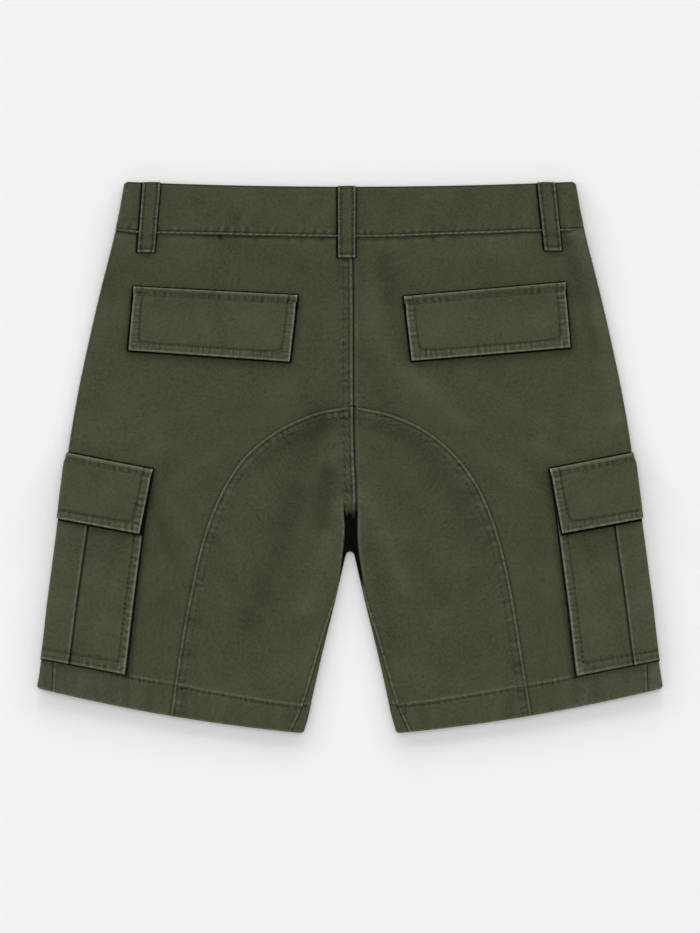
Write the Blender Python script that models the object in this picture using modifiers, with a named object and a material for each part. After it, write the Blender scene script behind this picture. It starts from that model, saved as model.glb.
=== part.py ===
"""Cargo shorts in cotton twill, laid out flat with the back upwards.

The garment lies on the plane z = 0 with its waist towards +Y. Its pieces are
those that a maker cuts and sews, each a closed wall of cloth. A place on it is
given by its distance across from the centre line, its drop below the highest
point of the waist edge, and its height above the plane, all in millimetres.
Blender's own units are metres.
"""

import math

import bpy

MM = 0.001

# Driving dimensions, in millimetres.
LENGTH = 513.0              # highest point of the waist to the lowest of the hem
SEAM_GAP = 0.3              # space between two pieces that are sewn together
FOLD_SEAM_GAP = 1.1         # the same round a fold, where both walls turn inwards
CLOTH = 1.1                 # wall of a body panel
HEM_CLOTH = 1.8             # wall where the cloth is turned up at the hem
HEM_HEIGHT = 27.5
HEM_ROWS = 3                # rows of points in the turned-up cloth
BAND_CLOTH = 2.0            # wall of the doubled waistband
LOOP_CLOTH = 1.8            # wall of a belt loop, several layers thick
POCKET_CLOTH = 1.0          # wall of a cargo pocket
CARGO_FLAP_CLOTH = 1.4
BACK_FLAP_CLOTH = 1.8

# Heights of the outer surfaces of the two layers, in millimetres.
TOP_HEIGHT = 5.0            # back layer, where only the front lies below it
WAIST_LIFT = 2.1            # front belt loops hold the waist off the plane
WAIST_TOP = 7.8             # back layer at the waistband's lower edge
BAND_TOP = 8.8              # back half of the waistband
LIFT_LENGTH = 60.0          # length over which the lifted waist comes down
LAP_RISE = 1.4              # one front over the other at the fly
BAND_LAP_RISE = 2.3         # one band end over the other

# Folds at the side and the inner leg.
FOLD_RADIUS = 2.4           # in plan
FOLD_ARC = 3.8              # length round a quarter of the fold
BAND_FOLD_RADIUS = 3.3
CROTCH_BLEND = 25.0         # drop over which the inner leg fold opens out flat
SLIT_DEPTH = 1.2            # the back sinks between the legs above the crotch
SLIT_HALF = 3.0
SLIT_BANK = 4.5
SLIT_START = 303.0          # drop where it begins
SLIT_RUN_IN = 14.0
SLIT_PAST_CROTCH = 8.0      # full depth this far past the crotch
SLIT_RUN_OUT = 45.0

# Outline, as (drop, across) of the side fold and of the inner leg fold.
SIDE_FOLD = (
    (0.0, 209.6),
    (46.0, 218.2),
    (115.0, 235.4),
    (190.0, 251.8),
    (245.5, 261.4),
    (313.5, 270.4),
    (385.0, 279.9),
    (441.0, 286.5),
    (471.0, 291.0),
)
INNER_FOLD = (
    (344.0, 0.6),
    (357.0, 5.2),
    (385.0, 12.3),
    (441.0, 25.9),
    (497.0, 38.6),
    (513.0, 43.0),
)
CROTCH = 344.0              # drop of the crotch
SIDE_HEM = 471.0            # drop of the hem at the side fold
HEM_LINE = SIDE_HEM - HEM_HEIGHT
HEM_BOW = 4.8               # how far the hem bows below the straight line
WAIST_SAG = 4.6             # how far the waist edge dips at the centre
BAND_SIDE = 45.5            # drop of the band's lower edge at the side
BAND_CENTRE = 52.4          # the same at the centre
SIDE_START = BAND_SIDE + SEAM_GAP
CENTRE_START = BAND_CENTRE + SEAM_GAP

# Arched seat seam, as (across, drop), from the centre back to the hem. It begins
# where the centre seam is.
ARCH_SEAM = (
    (0.0, 211.2),
    (37.2, 218.6),
    (69.8, 233.5),
    (96.7, 255.8),
    (117.2, 281.8),
    (132.0, 312.5),
    (142.3, 344.2),
    (149.7, 383.2),
    (155.0, 411.1),
    (160.2, 447.4),
    (166.3, 496.5),
)

# The centre back seam, as (drop, across): it wanders to one side on its way down.
CENTRE_SEAM = (
    (52.0, 1.8),
    (165.0, 2.3),
    (212.0, 3.2),
    (255.0, 4.4),
    (297.0, 6.0),
    (330.0, 1.8),
    (344.0, 0.0),
)

# Seams turn over the folds towards the hem: (drop, distance past the fold).
SIDE_SEAM = ((46.0, 0.0), (270.0, 0.0), (380.0, 6.0), (471.0, 15.0))
INNER_SEAM = ((344.0, 0.0), (385.0, 0.5), (425.0, 5.0), (480.0, 9.5), (513.0, 13.5))
FOLD_SEAM_RUN = 8.0         # past the fold, where the gap is back to a plain one
FIRST_STEP = 0.35           # first points past a seam on a fold
SHORTEST_ROLL = 0.9
SHORTEST_FLAT = 0.8

# Soft troughs and ridges of the back: start, end, half width, depth (ridge below 0).
CREASES = (
    ((-18.0, 213.0), (-93.0, 269.0), 17.0, 0.8),
    ((37.0, 222.0), (125.0, 325.0), 17.0, 0.7),
    ((-28.0, 315.0), (-98.0, 427.0), 20.0, 0.8),
    ((60.0, 352.0), (76.0, 400.0), 13.0, 0.6),
    ((-172.0, 392.0), (-140.0, 416.0), 12.0, 0.5),
    ((30.0, 70.0), (42.0, 180.0), 10.0, 0.5),
    ((18.0, 120.0), (116.0, 260.0), 11.0, -0.5),
    ((-9.0, 336.0), (-28.0, 364.0), 8.0, -0.5),
    ((20.0, 334.0), (42.0, 380.0), 8.0, -0.5),
)

# Back pocket flaps, corners as (across, drop).
BACK_FLAPS = {
    "left": {
        "top_inner": (48.8, 106.4),
        "top_outer": (201.4, 98.3),
        "bottom_outer": (206.4, 156.2),
        "bottom_inner": (55.7, 166.8),
    },
    "right": {
        "top_inner": (49.7, 107.7),
        "top_outer": (200.3, 94.6),
        "bottom_outer": (205.3, 154.4),
        "bottom_inner": (56.5, 166.8),
    },
}
BACK_FLAP_GAP_TOP = 0.35    # space under the flap
BACK_FLAP_GAP_BOTTOM = 1.1

# Cargo pockets, by drop along the side fold and distance s round it.
POCKET_TOP = 262.0
POCKET_BOTTOM = 442.2
POCKET_HALF = 78.8
PLEAT_HALF = 27.3           # half width of the raised box pleat
PLEAT_RISE = 0.8
POCKET_STAND = 2.2          # outer face over the panel
POCKET_EDGE_STAND = 2.6
POCKET_EDGE_RUN = 30.0      # from the edge in to where the pouch is at its own height
POCKET_SHARES = (0.0, 0.16, 0.3, 0.44, 0.6, 0.76, 0.92)
GUSSET = 0.7                # width of the gusset in plan
CARGO_FLAP_TOP = 252.6
CARGO_FLAP_BOTTOM = 313.1
CARGO_FLAP_TOP_HALF = 82.7
CARGO_FLAP_BOTTOM_HALF = 76.5
CARGO_FLAP_STAND = 4.7
CARGO_FLAP_SHARES = (0.0, 0.05, 0.10, 0.14, 0.35, 0.6, 0.8, 1.0)
CARGO_FLAP_RAISED = 0.14    # share of the flap's depth at which it stands at full height
CARGO_FLAP_EDGE = 6.0
FLAP_SLANT = 0.052          # drop gained for each millimetre round the fold
POCKET_SLANT = 0.08
POCKET_PROUD = 1.3          # pocket beyond the side fold
CARGO_FLAP_PROUD = 3.1
UNDER_POCKET = 1.6          # room for the pocket under the front layer
UNDER_FLAP = 1.75           # room for the flap under the pocket
BACK_LIFT = 0.8             # share of those that the back layer rises by
LIFT_PAST = 3.0             # full lift this far below a pocket or flap
POCKET_REACH = 6.0          # the lifted place round a pocket, past its edge
LIFT_RAMP = 14.0
FLAP_RAMP = 30.0
RIM_STAND = 0.75            # lower rim of the gusset over the panel

# Rows of the body panels, as drops along the side fold, and columns of their
# flat cloth, as distances in from it. They follow the lifted places.
ROWS = (60, 80, 105, 132, 162, 212, 232, 246, 262, 288, 329, 346, 370, 398, 424)
COLUMNS = (30.0, 58.0, 85.0, 99.0)
ROW_STEP = 0.003            # share between two close rows

# Belt loops: name, layer, top and bottom (across), drops of top and bottom.
LOOP_WIDTH = 17.6
LOOP_CROWN = 0.25
LOOP_STEP = 8.0             # length over which a loop comes down off the band
LOOP_SHARES = (0.0, 0.12, 0.35, 0.6, 0.66, 0.72, 0.78, 0.84, 1.0)
BELT_LOOPS = (
    ("belt_loop_back_centre", 1, (-3.0, -3.0), (3.6, 71.5)),
    ("belt_loop_back_left", 1, (-184.0, -189.5), (0.0, 66.7)),
    ("belt_loop_back_right", 1, (182.0, 189.0), (0.0, 65.2)),
    ("belt_loop_front_left", -1, (-112.0, -114.0), (2.6, 68.0)),
    ("belt_loop_front_right", -1, (112.0, 114.0), (2.6, 68.0)),
)

# Fly, hidden underneath: the left front laps over the right one.
FLY_LAP = 12.0
FLY_END = 196.0
LAP_BELOW = 40.0            # the raised edge carries on below the fly
LAP_FADE = 20.0
LAP_REACH = 24.0            # and this far across, then slopes down
LAP_SLOPE = 36.0
BAND_RUN = 200.0            # flat part of the band, whose ends move to the fold
BAND_END_LEFT = 5.0
BAND_END_RIGHT = -35.0
BAND_LAP_START = 8.0        # the lower end rises under the upper one
BAND_LAP_SLOPE = 22.0
BAND_LAP_PLACES = (26.0, 20.0, 14.0, BAND_LAP_START, -10.0, BAND_END_RIGHT)
BUTTON_RADIUS = 8.5
BUTTON_THICKNESS = 1.5
BUTTON_CENTRE_HEIGHT = 1.0
BUTTON_RIM = 0.5
BUTTON_ACROSS = -9.0
BUTTON_DROP = 27.0

TWILL_COLOUR = (0.070, 0.073, 0.044, 1.0)
BUTTON_COLOUR = (0.045, 0.042, 0.030, 1.0)


# ---------------------------------------------------------------- small maths

def mix(low, high, share):
    return low + (high - low) * share


def ease(share):
    share = min(max(share, 0.0), 1.0)
    return share * share * (3.0 - 2.0 * share)


def smooth(table, place):
    """Reads a (place, value) table as one smooth curve."""
    places = [row[0] for row in table]
    values = [row[1] for row in table]
    if place <= places[0]:
        return values[0]
    if place >= places[-1]:
        return values[-1]
    last = len(table) - 1
    i = max(k for k in range(last) if places[k] <= place)

    def slope(k):
        before, after = max(k - 1, 0), min(k + 1, last)
        return (values[after] - values[before]) / (places[after] - places[before])

    step = places[i + 1] - places[i]
    t = (place - places[i]) / step
    return (
        (2 * t**3 - 3 * t**2 + 1) * values[i]
        + (t**3 - 2 * t**2 + t) * step * slope(i)
        + (3 * t**2 - 2 * t**3) * values[i + 1]
        + (t**3 - t**2) * step * slope(i + 1)
    )


def along(points, share):
    """The point at this share of the length of a smooth curve through points."""
    lengths = [0.0]
    for here, there in zip(points, points[1:]):
        lengths.append(lengths[-1] + math.dist(here, there))
    place = share * lengths[-1]
    return tuple(
        smooth(tuple(zip(lengths, [point[axis] for point in points])), place)
        for axis in (0, 1)
    )


# ------------------------------------------------------- the garment's form

def side_fold(drop):
    return smooth(SIDE_FOLD, drop)


def side_angle(drop):
    return math.atan((side_fold(drop + 5.0) - side_fold(drop - 5.0)) / 10.0)


def inner_fold(drop):
    return smooth(INNER_FOLD, drop) if drop > CROTCH else 0.0


def centre_seam(drop):
    return smooth(CENTRE_SEAM, drop)


def waist_edge(across):
    return WAIST_SAG * (1.0 - (across / side_fold(0.0)) ** 2)


def band_edge(across):
    return mix(BAND_CENTRE, BAND_SIDE, (across / side_fold(BAND_SIDE)) ** 2)


def hem_edge(across):
    inner, outer = inner_fold(LENGTH), side_fold(SIDE_HEM)
    share = min(max((abs(across) - inner) / (outer - inner), 0.0), 1.0)
    return mix(LENGTH, SIDE_HEM, share) + HEM_BOW * 4.0 * share * (1.0 - share)


def fold_place(across, drop):
    """(drop of the nearest place on the side fold, distance in from it)."""
    angle = side_angle(drop)
    inward = (side_fold(drop) - abs(across)) * math.cos(angle)
    return drop - inward * math.sin(angle), inward


def pocket_lift(across, drop):
    """How far a cargo pocket and its flap underneath hold the front up."""
    at, inward = fold_place(across, drop)
    start = CARGO_FLAP_TOP - POCKET_REACH - LIFT_RAMP
    top = ease((at - start) / LIFT_RAMP)
    bottom = ease((POCKET_BOTTOM + LIFT_PAST + LIFT_RAMP - at) / LIFT_RAMP)
    inner = ease((POCKET_HALF + POCKET_REACH + LIFT_RAMP - inward) / LIFT_RAMP)
    return top * bottom * inner * (UNDER_POCKET + flap_lift(at))


def flap_lift(at):
    past = at - CARGO_FLAP_BOTTOM - LIFT_PAST
    return UNDER_FLAP * (1.0 - ease(past / FLAP_RAMP))


def waist_share(across, drop):
    past = drop - band_edge(across) - LOOP_WIDTH
    return 1.0 - ease(past / LIFT_LENGTH)


def under(across, drop):
    """Height of the front layer's outer surface."""
    return WAIST_LIFT * waist_share(across, drop) + pocket_lift(across, drop)


def crease(across, drop):
    """Depth of the soft folds at a place on the back."""
    depth = 0.0
    for (x0, y0), (x1, y1), half_width, deep in CREASES:
        dx, dy = x1 - x0, y1 - y0
        share = ((across - x0) * dx + (drop - y0) * dy) / (dx * dx + dy * dy)
        share = min(max(share, 0.0), 1.0)
        off = math.dist((across, drop), (x0 + dx * share, y0 + dy * share))
        depth += deep * math.exp(-((off / half_width) ** 2))
    return depth


def slit(across, drop):
    """How far the back sinks at the crotch, and along the inner legs below it."""
    beside = abs(across) - inner_fold(drop)
    deep = ease((drop - SLIT_START) / SLIT_RUN_IN)
    deep *= 1.0 - ease((drop - CROTCH - SLIT_PAST_CROTCH) / SLIT_RUN_OUT)
    return SLIT_DEPTH * deep * (1.0 - ease((beside - SLIT_HALF) / SLIT_BANK))


def over(across, drop):
    """Height of the back layer's outer surface."""
    rise = (WAIST_TOP - TOP_HEIGHT) * waist_share(across, drop)
    rise += BACK_LIFT * pocket_lift(across, drop)
    return TOP_HEIGHT + rise - crease(across, drop) - slit(across, drop)


def layer_height(across, drop, turn):
    """Height at turn 1 on the back, -1 on the front and between them on a fold."""
    high, low = over(across, drop), under(across, drop)
    return (high + low) / 2.0 + turn * (high - low) / 2.0


def round_side(at, reach, proud=0.0):
    """(across, drop, turn) at a reach round the side fold, above 0 on the back."""
    quarter = min(max(reach / FOLD_ARC, -1.0), 1.0) * math.pi / 2.0
    inward = FOLD_RADIUS - (FOLD_RADIUS + proud) * math.cos(quarter)
    inward += max(abs(reach) - FOLD_ARC, 0.0)
    angle = side_angle(at)
    across = side_fold(at) - inward * math.cos(angle)
    return across, at + inward * math.sin(angle), math.sin(quarter)


def round_inner(at, reach, layer):
    """The same round the inner leg fold, flattening out above the crotch."""
    quarter = min(max(reach / FOLD_ARC, -1.0), 1.0) * math.pi / 2.0
    inward = FOLD_RADIUS * (1.0 - math.cos(quarter)) + max(abs(reach) - FOLD_ARC, 0.0)
    turn = mix(layer, math.sin(quarter), ease((at - CROTCH) / CROTCH_BLEND + 1.0))
    return inner_fold(at) + SEAM_GAP / 2.0 + inward, at, turn


# --------------------------------------------------------------- mesh making

def clear_scene():
    for item in list(bpy.data.objects):
        bpy.data.objects.remove(item, do_unlink=True)


def make_material(name, colour, roughness, metallic=0.0):
    material = bpy.data.materials.new(name)
    material.use_nodes = True
    shader = material.node_tree.nodes["Principled BSDF"]
    shader.inputs["Base Color"].default_value = colour
    shader.inputs["Roughness"].default_value = roughness
    shader.inputs["Metallic"].default_value = metallic
    return material


def add_object(name, mesh, colour=TWILL_COLOUR, roughness=0.85):
    item = bpy.data.objects.new(name, mesh)
    bpy.data.collections["cargo_shorts"].objects.link(item)
    mesh.materials.append(make_material(name, colour, roughness))
    mesh.shade_smooth()
    mesh.set_sharp_from_angle(angle=math.radians(40.0))
    return item


def wall(name, rows, thickness, flip=False, hem_rows=0):
    """A cloth wall: outer points as rows of (across, drop, height), made solid inwards."""
    columns = len(rows[0])
    points = [
        (across * MM, (LENGTH / 2.0 - drop) * MM, height * MM)
        for row in rows
        for across, drop, height in row
    ]
    faces = []
    for r in range(len(rows) - 1):
        for c in range(columns - 1):
            corner = r * columns + c
            face = (corner, corner + columns, corner + columns + 1, corner + 1)
            faces.append(face[::-1] if flip else face)
    mesh = bpy.data.meshes.new(name)
    mesh.from_pydata(points, [], faces)
    item = add_object(name, mesh)
    solid = item.modifiers.new("cloth", "SOLIDIFY")
    solid.thickness = thickness * MM
    solid.offset = -1.0
    solid.use_even_offset = True
    if hem_rows:
        group = item.vertex_groups.new(name="turned_up_hem")
        first = (len(rows) - hem_rows) * columns
        group.add(range(first, len(points)), 1.0, "REPLACE")
        solid.vertex_group = group.name
        solid.thickness = HEM_CLOTH * MM
        solid.thickness_vertex_group = thickness / HEM_CLOTH
    return item


def panel(name, side, layer, shares, outer_rail, inner_rail, columns, steps, top=None):
    """A body panel between two rails, with its top and hem rows on the garment's edges.

    A rail gives, for a share of the way down, a list of (across, drop, turn).
    Between them come columns at set distances in from the side fold, then even steps.
    """
    def plan(share):
        outer, inner = outer_rail(share), inner_rail(share)
        start, end = outer[-1], inner[0]
        length = math.dist(start[:2], end[:2])
        begun = side_fold(start[1]) - start[0]
        parts = [(inward - begun) / length for inward in columns]
        last = parts[-1] if parts else 0.0
        parts += spread(last, 1.0, steps)[1:-1]
        between = [tuple(mix(start[i], end[i], part) for i in range(3)) for part in parts]
        return outer + between + inner

    first, last = plan(shares[0]), plan(1.0)
    rows = []
    for share in shares:
        row = []
        for place, start, end in zip(plan(share), first, last):
            across, drop, turn = place
            if top:
                drop += (1.0 - share) ** 3 * (top(start[0]) - start[1])
            drop += share**4 * (hem_edge(end[0]) - end[1])
            height = layer_height(side * across, drop, turn)
            row.append((side * across, drop, height))
        rows.append(row)
    return wall(name, rows, CLOTH, flip=side == layer, hem_rows=HEM_ROWS), rows


def spread(low, high, steps):
    return [mix(low, high, step / steps) for step in range(steps + 1)]


# ------------------------------------------------------------- body panels

def share_down(drop):
    """Share of the way down the side fold, from the band to the hem."""
    return (drop - SIDE_START) / (SIDE_HEM - SIDE_START)


HEM_SHARE = share_down(HEM_LINE)


def centre_share(drop):
    """The same for a drop down the centre and the inner leg, above the hem."""
    return HEM_SHARE * (drop - CENTRE_START) / (LENGTH - HEM_HEIGHT - CENTRE_START)


ARCH_SHARE = centre_share(ARCH_SEAM[0][1])


def rail_drop(start, end, share, above=0.0):
    """Distance down a rail that begins at the share above and keeps the hem's height."""
    hem = end - HEM_HEIGHT
    if share <= HEM_SHARE:
        return mix(start, hem, (share - above) / (HEM_SHARE - above))
    return mix(hem, end, (share - HEM_SHARE) / (1.0 - HEM_SHARE))


def panel_shares():
    """Shares of the way down at which every body panel has a row."""
    shares = [0.0, ARCH_SHARE, centre_share(CROTCH)] + [share_down(drop) for drop in ROWS]
    return sorted(shares) + [HEM_SHARE - ROW_STEP, HEM_SHARE, (HEM_SHARE + 1.0) / 2.0, 1.0]


def arch_shares():
    below = [share for share in panel_shares() if share > ARCH_SHARE]
    return [ARCH_SHARE + 2.0 * ROW_STEP] + below


def panel_top(across):
    return band_edge(across) + SEAM_GAP


def seam_gap(past):
    """Half the gap at a seam, wider where the seam lies on the fold itself."""
    return mix(FOLD_SEAM_GAP, SEAM_GAP, ease(past / FOLD_SEAM_RUN)) / 2.0


def rolled(start, steps):
    """Reaches from a seam to the flat cloth of the back, the first step a short one."""
    flat = max(FOLD_ARC, start + SHORTEST_ROLL)
    return [start] + spread(start + FIRST_STEP, flat, steps - 1)


def side_rail(back, steps):
    """The stretch round the side fold, from the side seam to the flat cloth."""
    def rail(share):
        at = mix(SIDE_START, SIDE_HEM, share)
        seam = smooth(SIDE_SEAM, at)
        if back:
            return [round_side(at, reach) for reach in rolled(seam + seam_gap(seam), steps)]
        start = seam - seam_gap(seam)
        bend = min(FOLD_ARC, start - SHORTEST_FLAT)
        reaches = spread(start, bend, 2)[:-1] + spread(bend, -FOLD_ARC, steps)
        return [round_side(at, r) for r in reaches]
    return rail


def inner_reaches(at, back, steps):
    seam = smooth(INNER_SEAM, at)
    gap = seam_gap(seam) if at > CROTCH - CROTCH_BLEND else 0.0
    if back:
        return rolled(seam + gap, steps)[::-1]
    start = seam - gap
    bend = min(FOLD_ARC, start - SHORTEST_FLAT)
    return spread(-FOLD_ARC, bend, steps) + spread(bend, start, 2)[1:]


def on_arch(side, share, off):
    """A place on the arched seam, moved off it towards the side (+) or the leg (-)."""
    top = ARCH_SEAM[0][1]
    seam = ((side * centre_seam(top), top),) + ARCH_SEAM[1:]
    length = sum(math.dist(a, b) for a, b in zip(seam, seam[1:]))
    place = rail_drop(0.0, length, share, ARCH_SHARE) / length
    across, drop = along(seam, place)
    near, far = along(seam, max(place - 0.01, 0.0)), along(seam, min(place + 0.01, 1.0))
    dx, dy = far[0] - near[0], far[1] - near[1]
    span = math.hypot(dx, dy)
    return across + off * dy / span, drop - off * dx / span, 1.0


def make_back_side(name, side):
    def centre_or_arch(share):
        if share <= ARCH_SHARE:
            drop = rail_drop(CENTRE_START, LENGTH, share)
            drop -= SEAM_GAP / 2.0 * (share == ARCH_SHARE)
            return [(side * centre_seam(drop) + SEAM_GAP / 2.0, drop, 1.0)]
        return [on_arch(side, share, SEAM_GAP / 2.0)]

    shares = [share for share in panel_shares() if share <= ARCH_SHARE] + arch_shares()
    panel(name, side, 1, shares, side_rail(True, 5), centre_or_arch, COLUMNS, 4, top=panel_top)


def make_back_inner(name, side):
    def arch(share):
        return [on_arch(side, share, -SEAM_GAP / 2.0)]

    def centre_or_leg(share):
        at = rail_drop(CENTRE_START, LENGTH, share)
        places = [round_inner(at, reach, 1) for reach in inner_reaches(at, True, 5)]
        return [(across + side * centre_seam(at), drop, turn) for across, drop, turn in places]

    panel(name, side, 1, arch_shares(), arch, centre_or_leg, (), 7)


def make_front(name, side):
    laps_under = side > 0

    def centre_or_leg(share):
        at = rail_drop(CENTRE_START, LENGTH, share)
        places = [round_inner(at, reach, -1) for reach in inner_reaches(at, False, 5)]
        if not laps_under:
            return places
        lap = (FLY_LAP + SEAM_GAP / 2.0) * (1.0 - ease((at - FLY_END) / LIFT_RAMP))
        return [(across - lap, drop, turn) for across, drop, turn in places]

    rail = side_rail(False, 6)
    item, rows = panel(
        name, side, -1, panel_shares(), rail, centre_or_leg, COLUMNS, 4, top=panel_top
    )
    if not laps_under:
        return
    # Raise the lapped edge clear of the front that lies over it.
    for vertex, (across, drop, _) in zip(item.data.vertices, sum(rows, [])):
        rise = 1.0 - ease((drop - FLY_END - LAP_BELOW) / LAP_FADE)
        rise *= 1.0 - ease((across - LAP_REACH) / LAP_SLOPE)
        vertex.co.z += LAP_RISE * rise * MM


# ------------------------------------------------------ waistband and loops

def band_path():
    """(kind, place across or side, turn, way out) from one end of the band to the other."""
    turns = [step / 6.0 * math.pi - math.pi / 2.0 for step in range(1, 6)]
    lap_start = BAND_LAP_START + BAND_LAP_SLOPE
    path = [("flat", x, -1.0, 0.0) for x in spread(BAND_END_LEFT, -BAND_RUN, 10)]
    path += [("fold", -1.0, math.sin(turn), math.cos(turn)) for turn in turns]
    path += [("flat", x, 1.0, 0.0) for x in spread(-BAND_RUN, BAND_RUN, 24)]
    path += [("fold", 1.0, math.sin(turn), math.cos(turn)) for turn in reversed(turns)]
    path += [("flat", x, -1.0, 0.0) for x in spread(BAND_RUN, lap_start, 8)]
    path += [("flat", x, -1.0, 0.0) for x in BAND_LAP_PLACES]
    return path


def make_waistband():
    rows = []
    for share in spread(0.0, 1.0, 4):
        row = []
        for kind, place, turn, out in band_path():
            across = place
            drop = mix(waist_edge(across), band_edge(across), share)
            if kind == "fold":
                flank = side_fold(drop) - BAND_FOLD_RADIUS
                across = place * (flank + BAND_FOLD_RADIUS * out)
                drop = mix(waist_edge(across), band_edge(across), share)
            elif abs(place) == BAND_RUN:
                across = math.copysign(side_fold(drop) - BAND_FOLD_RADIUS, place)
                drop = mix(waist_edge(across), band_edge(across), share)
            height = (BAND_TOP + WAIST_LIFT) / 2.0 + turn * (BAND_TOP - WAIST_LIFT) / 2.0
            row.append([across, drop, height])
        for place in row[-len(BAND_LAP_PLACES):]:
            past = (place[0] - BAND_LAP_START) / BAND_LAP_SLOPE
            place[2] += BAND_LAP_RISE * (1.0 - ease(past))
        rows.append(row)
    wall("waistband", rows, BAND_CLOTH)


def make_belt_loop(name, layer, ends, drops):
    """A folded strip over the band, from above its edge to the panel below."""
    rows = []
    for share in LOOP_SHARES:
        drop = mix(drops[0], drops[1], share)
        centre = mix(ends[0], ends[1], share)
        row = []
        for part in (-0.5, -0.25, 0.0, 0.25, 0.5):
            across = centre + LOOP_WIDTH * part
            if layer > 0:
                past = ease((drop - band_edge(across) + 1.0) / LOOP_STEP)
                high = mix(BAND_TOP, over(across, drop), past) + SEAM_GAP + LOOP_CLOTH
                crown = LOOP_CROWN * (1.0 - (2.0 * part) ** 2)
                row.append((across, drop, high + crown))
            else:
                row.append((across, drop, 0.0))
        rows.append(row)
    wall(name, rows, LOOP_CLOTH, flip=layer < 0)


def make_button():
    bpy.ops.mesh.primitive_cylinder_add(
        vertices=24,
        radius=BUTTON_RADIUS * MM,
        depth=BUTTON_THICKNESS * MM,
        location=(BUTTON_ACROSS * MM, (LENGTH / 2.0 - BUTTON_DROP) * MM, BUTTON_CENTRE_HEIGHT * MM),
    )
    made = bpy.context.object
    made.name = "waist_button_shape"
    item = add_object("waist_button", made.data, BUTTON_COLOUR, 0.45)
    item.location = made.location
    bpy.data.objects.remove(made, do_unlink=True)
    rim = item.modifiers.new("rim", "BEVEL")
    rim.width = BUTTON_RIM * MM
    rim.segments = 2


# ------------------------------------------------------------- pocket pieces

def make_back_flap(name, side, corners):
    """A doubled flap, stitched down along its top and standing off at its lower edge."""
    rows = []
    for share in spread(0.0, 1.0, 6):
        row = []
        for part in spread(0.0, 1.0, 10):
            across, drop = (
                mix(
                    mix(corners["top_inner"][i], corners["top_outer"][i], part),
                    mix(corners["bottom_inner"][i], corners["bottom_outer"][i], part),
                    share,
                )
                for i in (0, 1)
            )
            stand = mix(BACK_FLAP_GAP_TOP, BACK_FLAP_GAP_BOTTOM, ease(share)) + BACK_FLAP_CLOTH
            row.append((side * across, drop, over(side * across, drop) + stand))
        rows.append(row)
    wall(name, rows, BACK_FLAP_CLOTH, flip=side < 0)


def pocket_reaches(half, pleat, edge):
    """Places round the side fold, closer at the edges, at the pleat and on the fold."""
    flat = [half, half - edge, half - 16.0, half - 34.0]
    flat += [pleat + 0.9, pleat - 0.9, 15.0] if pleat else [30.0, 15.0]
    arc = [FOLD_ARC * step / 3.0 for step in (3, 2, 1)]
    reaches = flat + arc
    return [-r for r in reaches] + [0.0] + reaches[::-1]


def make_cargo_pocket(name, side):
    """A pleated pouch that turns round the side fold, standing off the leg on a gusset."""
    rim = 1.0 - GUSSET / (POCKET_BOTTOM - POCKET_TOP)
    rows = []
    for share in POCKET_SHARES + (rim, 1.0):
        row = []
        for reach in pocket_reaches(POCKET_HALF, PLEAT_HALF, GUSSET):
            at = mix(POCKET_TOP, POCKET_BOTTOM, share)
            at += mix(FLAP_SLANT, POCKET_SLANT, share) * reach
            across, drop, turn = round_side(at, reach, POCKET_PROUD)
            edge = ease((abs(reach) - POCKET_HALF) / POCKET_EDGE_RUN + 1.0)
            stand = mix(POCKET_STAND, POCKET_EDGE_STAND, edge)
            stand += PLEAT_RISE * (abs(reach) < PLEAT_HALF)
            if reach == POCKET_HALF or share == 1.0:
                stand = RIM_STAND
            low = flap_lift(fold_place(across, drop)[0])
            high = over(side * across, drop) + stand
            height = (high + low) / 2.0 + turn * (high - low) / 2.0
            row.append((side * across, drop, height))
        rows.append(row)
    wall(name, rows, POCKET_CLOTH, flip=side > 0)


def make_cargo_flap(name, side):
    """The doubled flap over the pocket, sewn to the leg above it."""
    rows = []
    for share in CARGO_FLAP_SHARES:
        half = mix(CARGO_FLAP_TOP_HALF, CARGO_FLAP_BOTTOM_HALF, share)
        row = []
        for reach in pocket_reaches(half, 0.0, CARGO_FLAP_EDGE):
            at = mix(CARGO_FLAP_TOP, CARGO_FLAP_BOTTOM, share) + FLAP_SLANT * reach
            raised = ease(share / CARGO_FLAP_RAISED)
            proud = mix(CARGO_FLAP_CLOTH + SEAM_GAP, CARGO_FLAP_PROUD, raised)
            across, drop, turn = round_side(at, reach, proud)
            stand = mix(CARGO_FLAP_CLOTH + SEAM_GAP, CARGO_FLAP_STAND, raised)
            high = over(side * across, drop) + stand
            row.append((side * across, drop, high / 2.0 + turn * high / 2.0))
        rows.append(row)
    wall(name, rows, CARGO_FLAP_CLOTH, flip=side > 0)


def main():
    clear_scene()
    garment = bpy.data.collections.new("cargo_shorts")
    bpy.context.scene.collection.children.link(garment)
    make_waistband()
    for name, layer, ends, drops in BELT_LOOPS:
        make_belt_loop(name, layer, ends, drops)
    make_button()
    for hand, side in (("left", -1), ("right", 1)):
        make_back_side(f"back_side_{hand}", side)
        make_back_inner(f"back_inner_{hand}", side)
        make_front(f"front_{hand}", side)
        make_back_flap(f"back_flap_{hand}", side, BACK_FLAPS[hand])
        make_cargo_pocket(f"cargo_pocket_{hand}", side)
        make_cargo_flap(f"cargo_flap_{hand}", side)


main()
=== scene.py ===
"""Looks of the cargo shorts: cotton twill, laid out flat with the back upwards.

Every cloth piece is a thin shell on the form of its solid, made from the same named
sizes. A place on the garment is its distance across from the centre line, its drop
below the highest point of the waist edge and its height above the floor, all in
millimetres. Only the finished points are turned into metres.
"""

import math

import bpy
import numpy as np
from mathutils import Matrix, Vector
from mathutils.bvhtree import BVHTree


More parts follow.
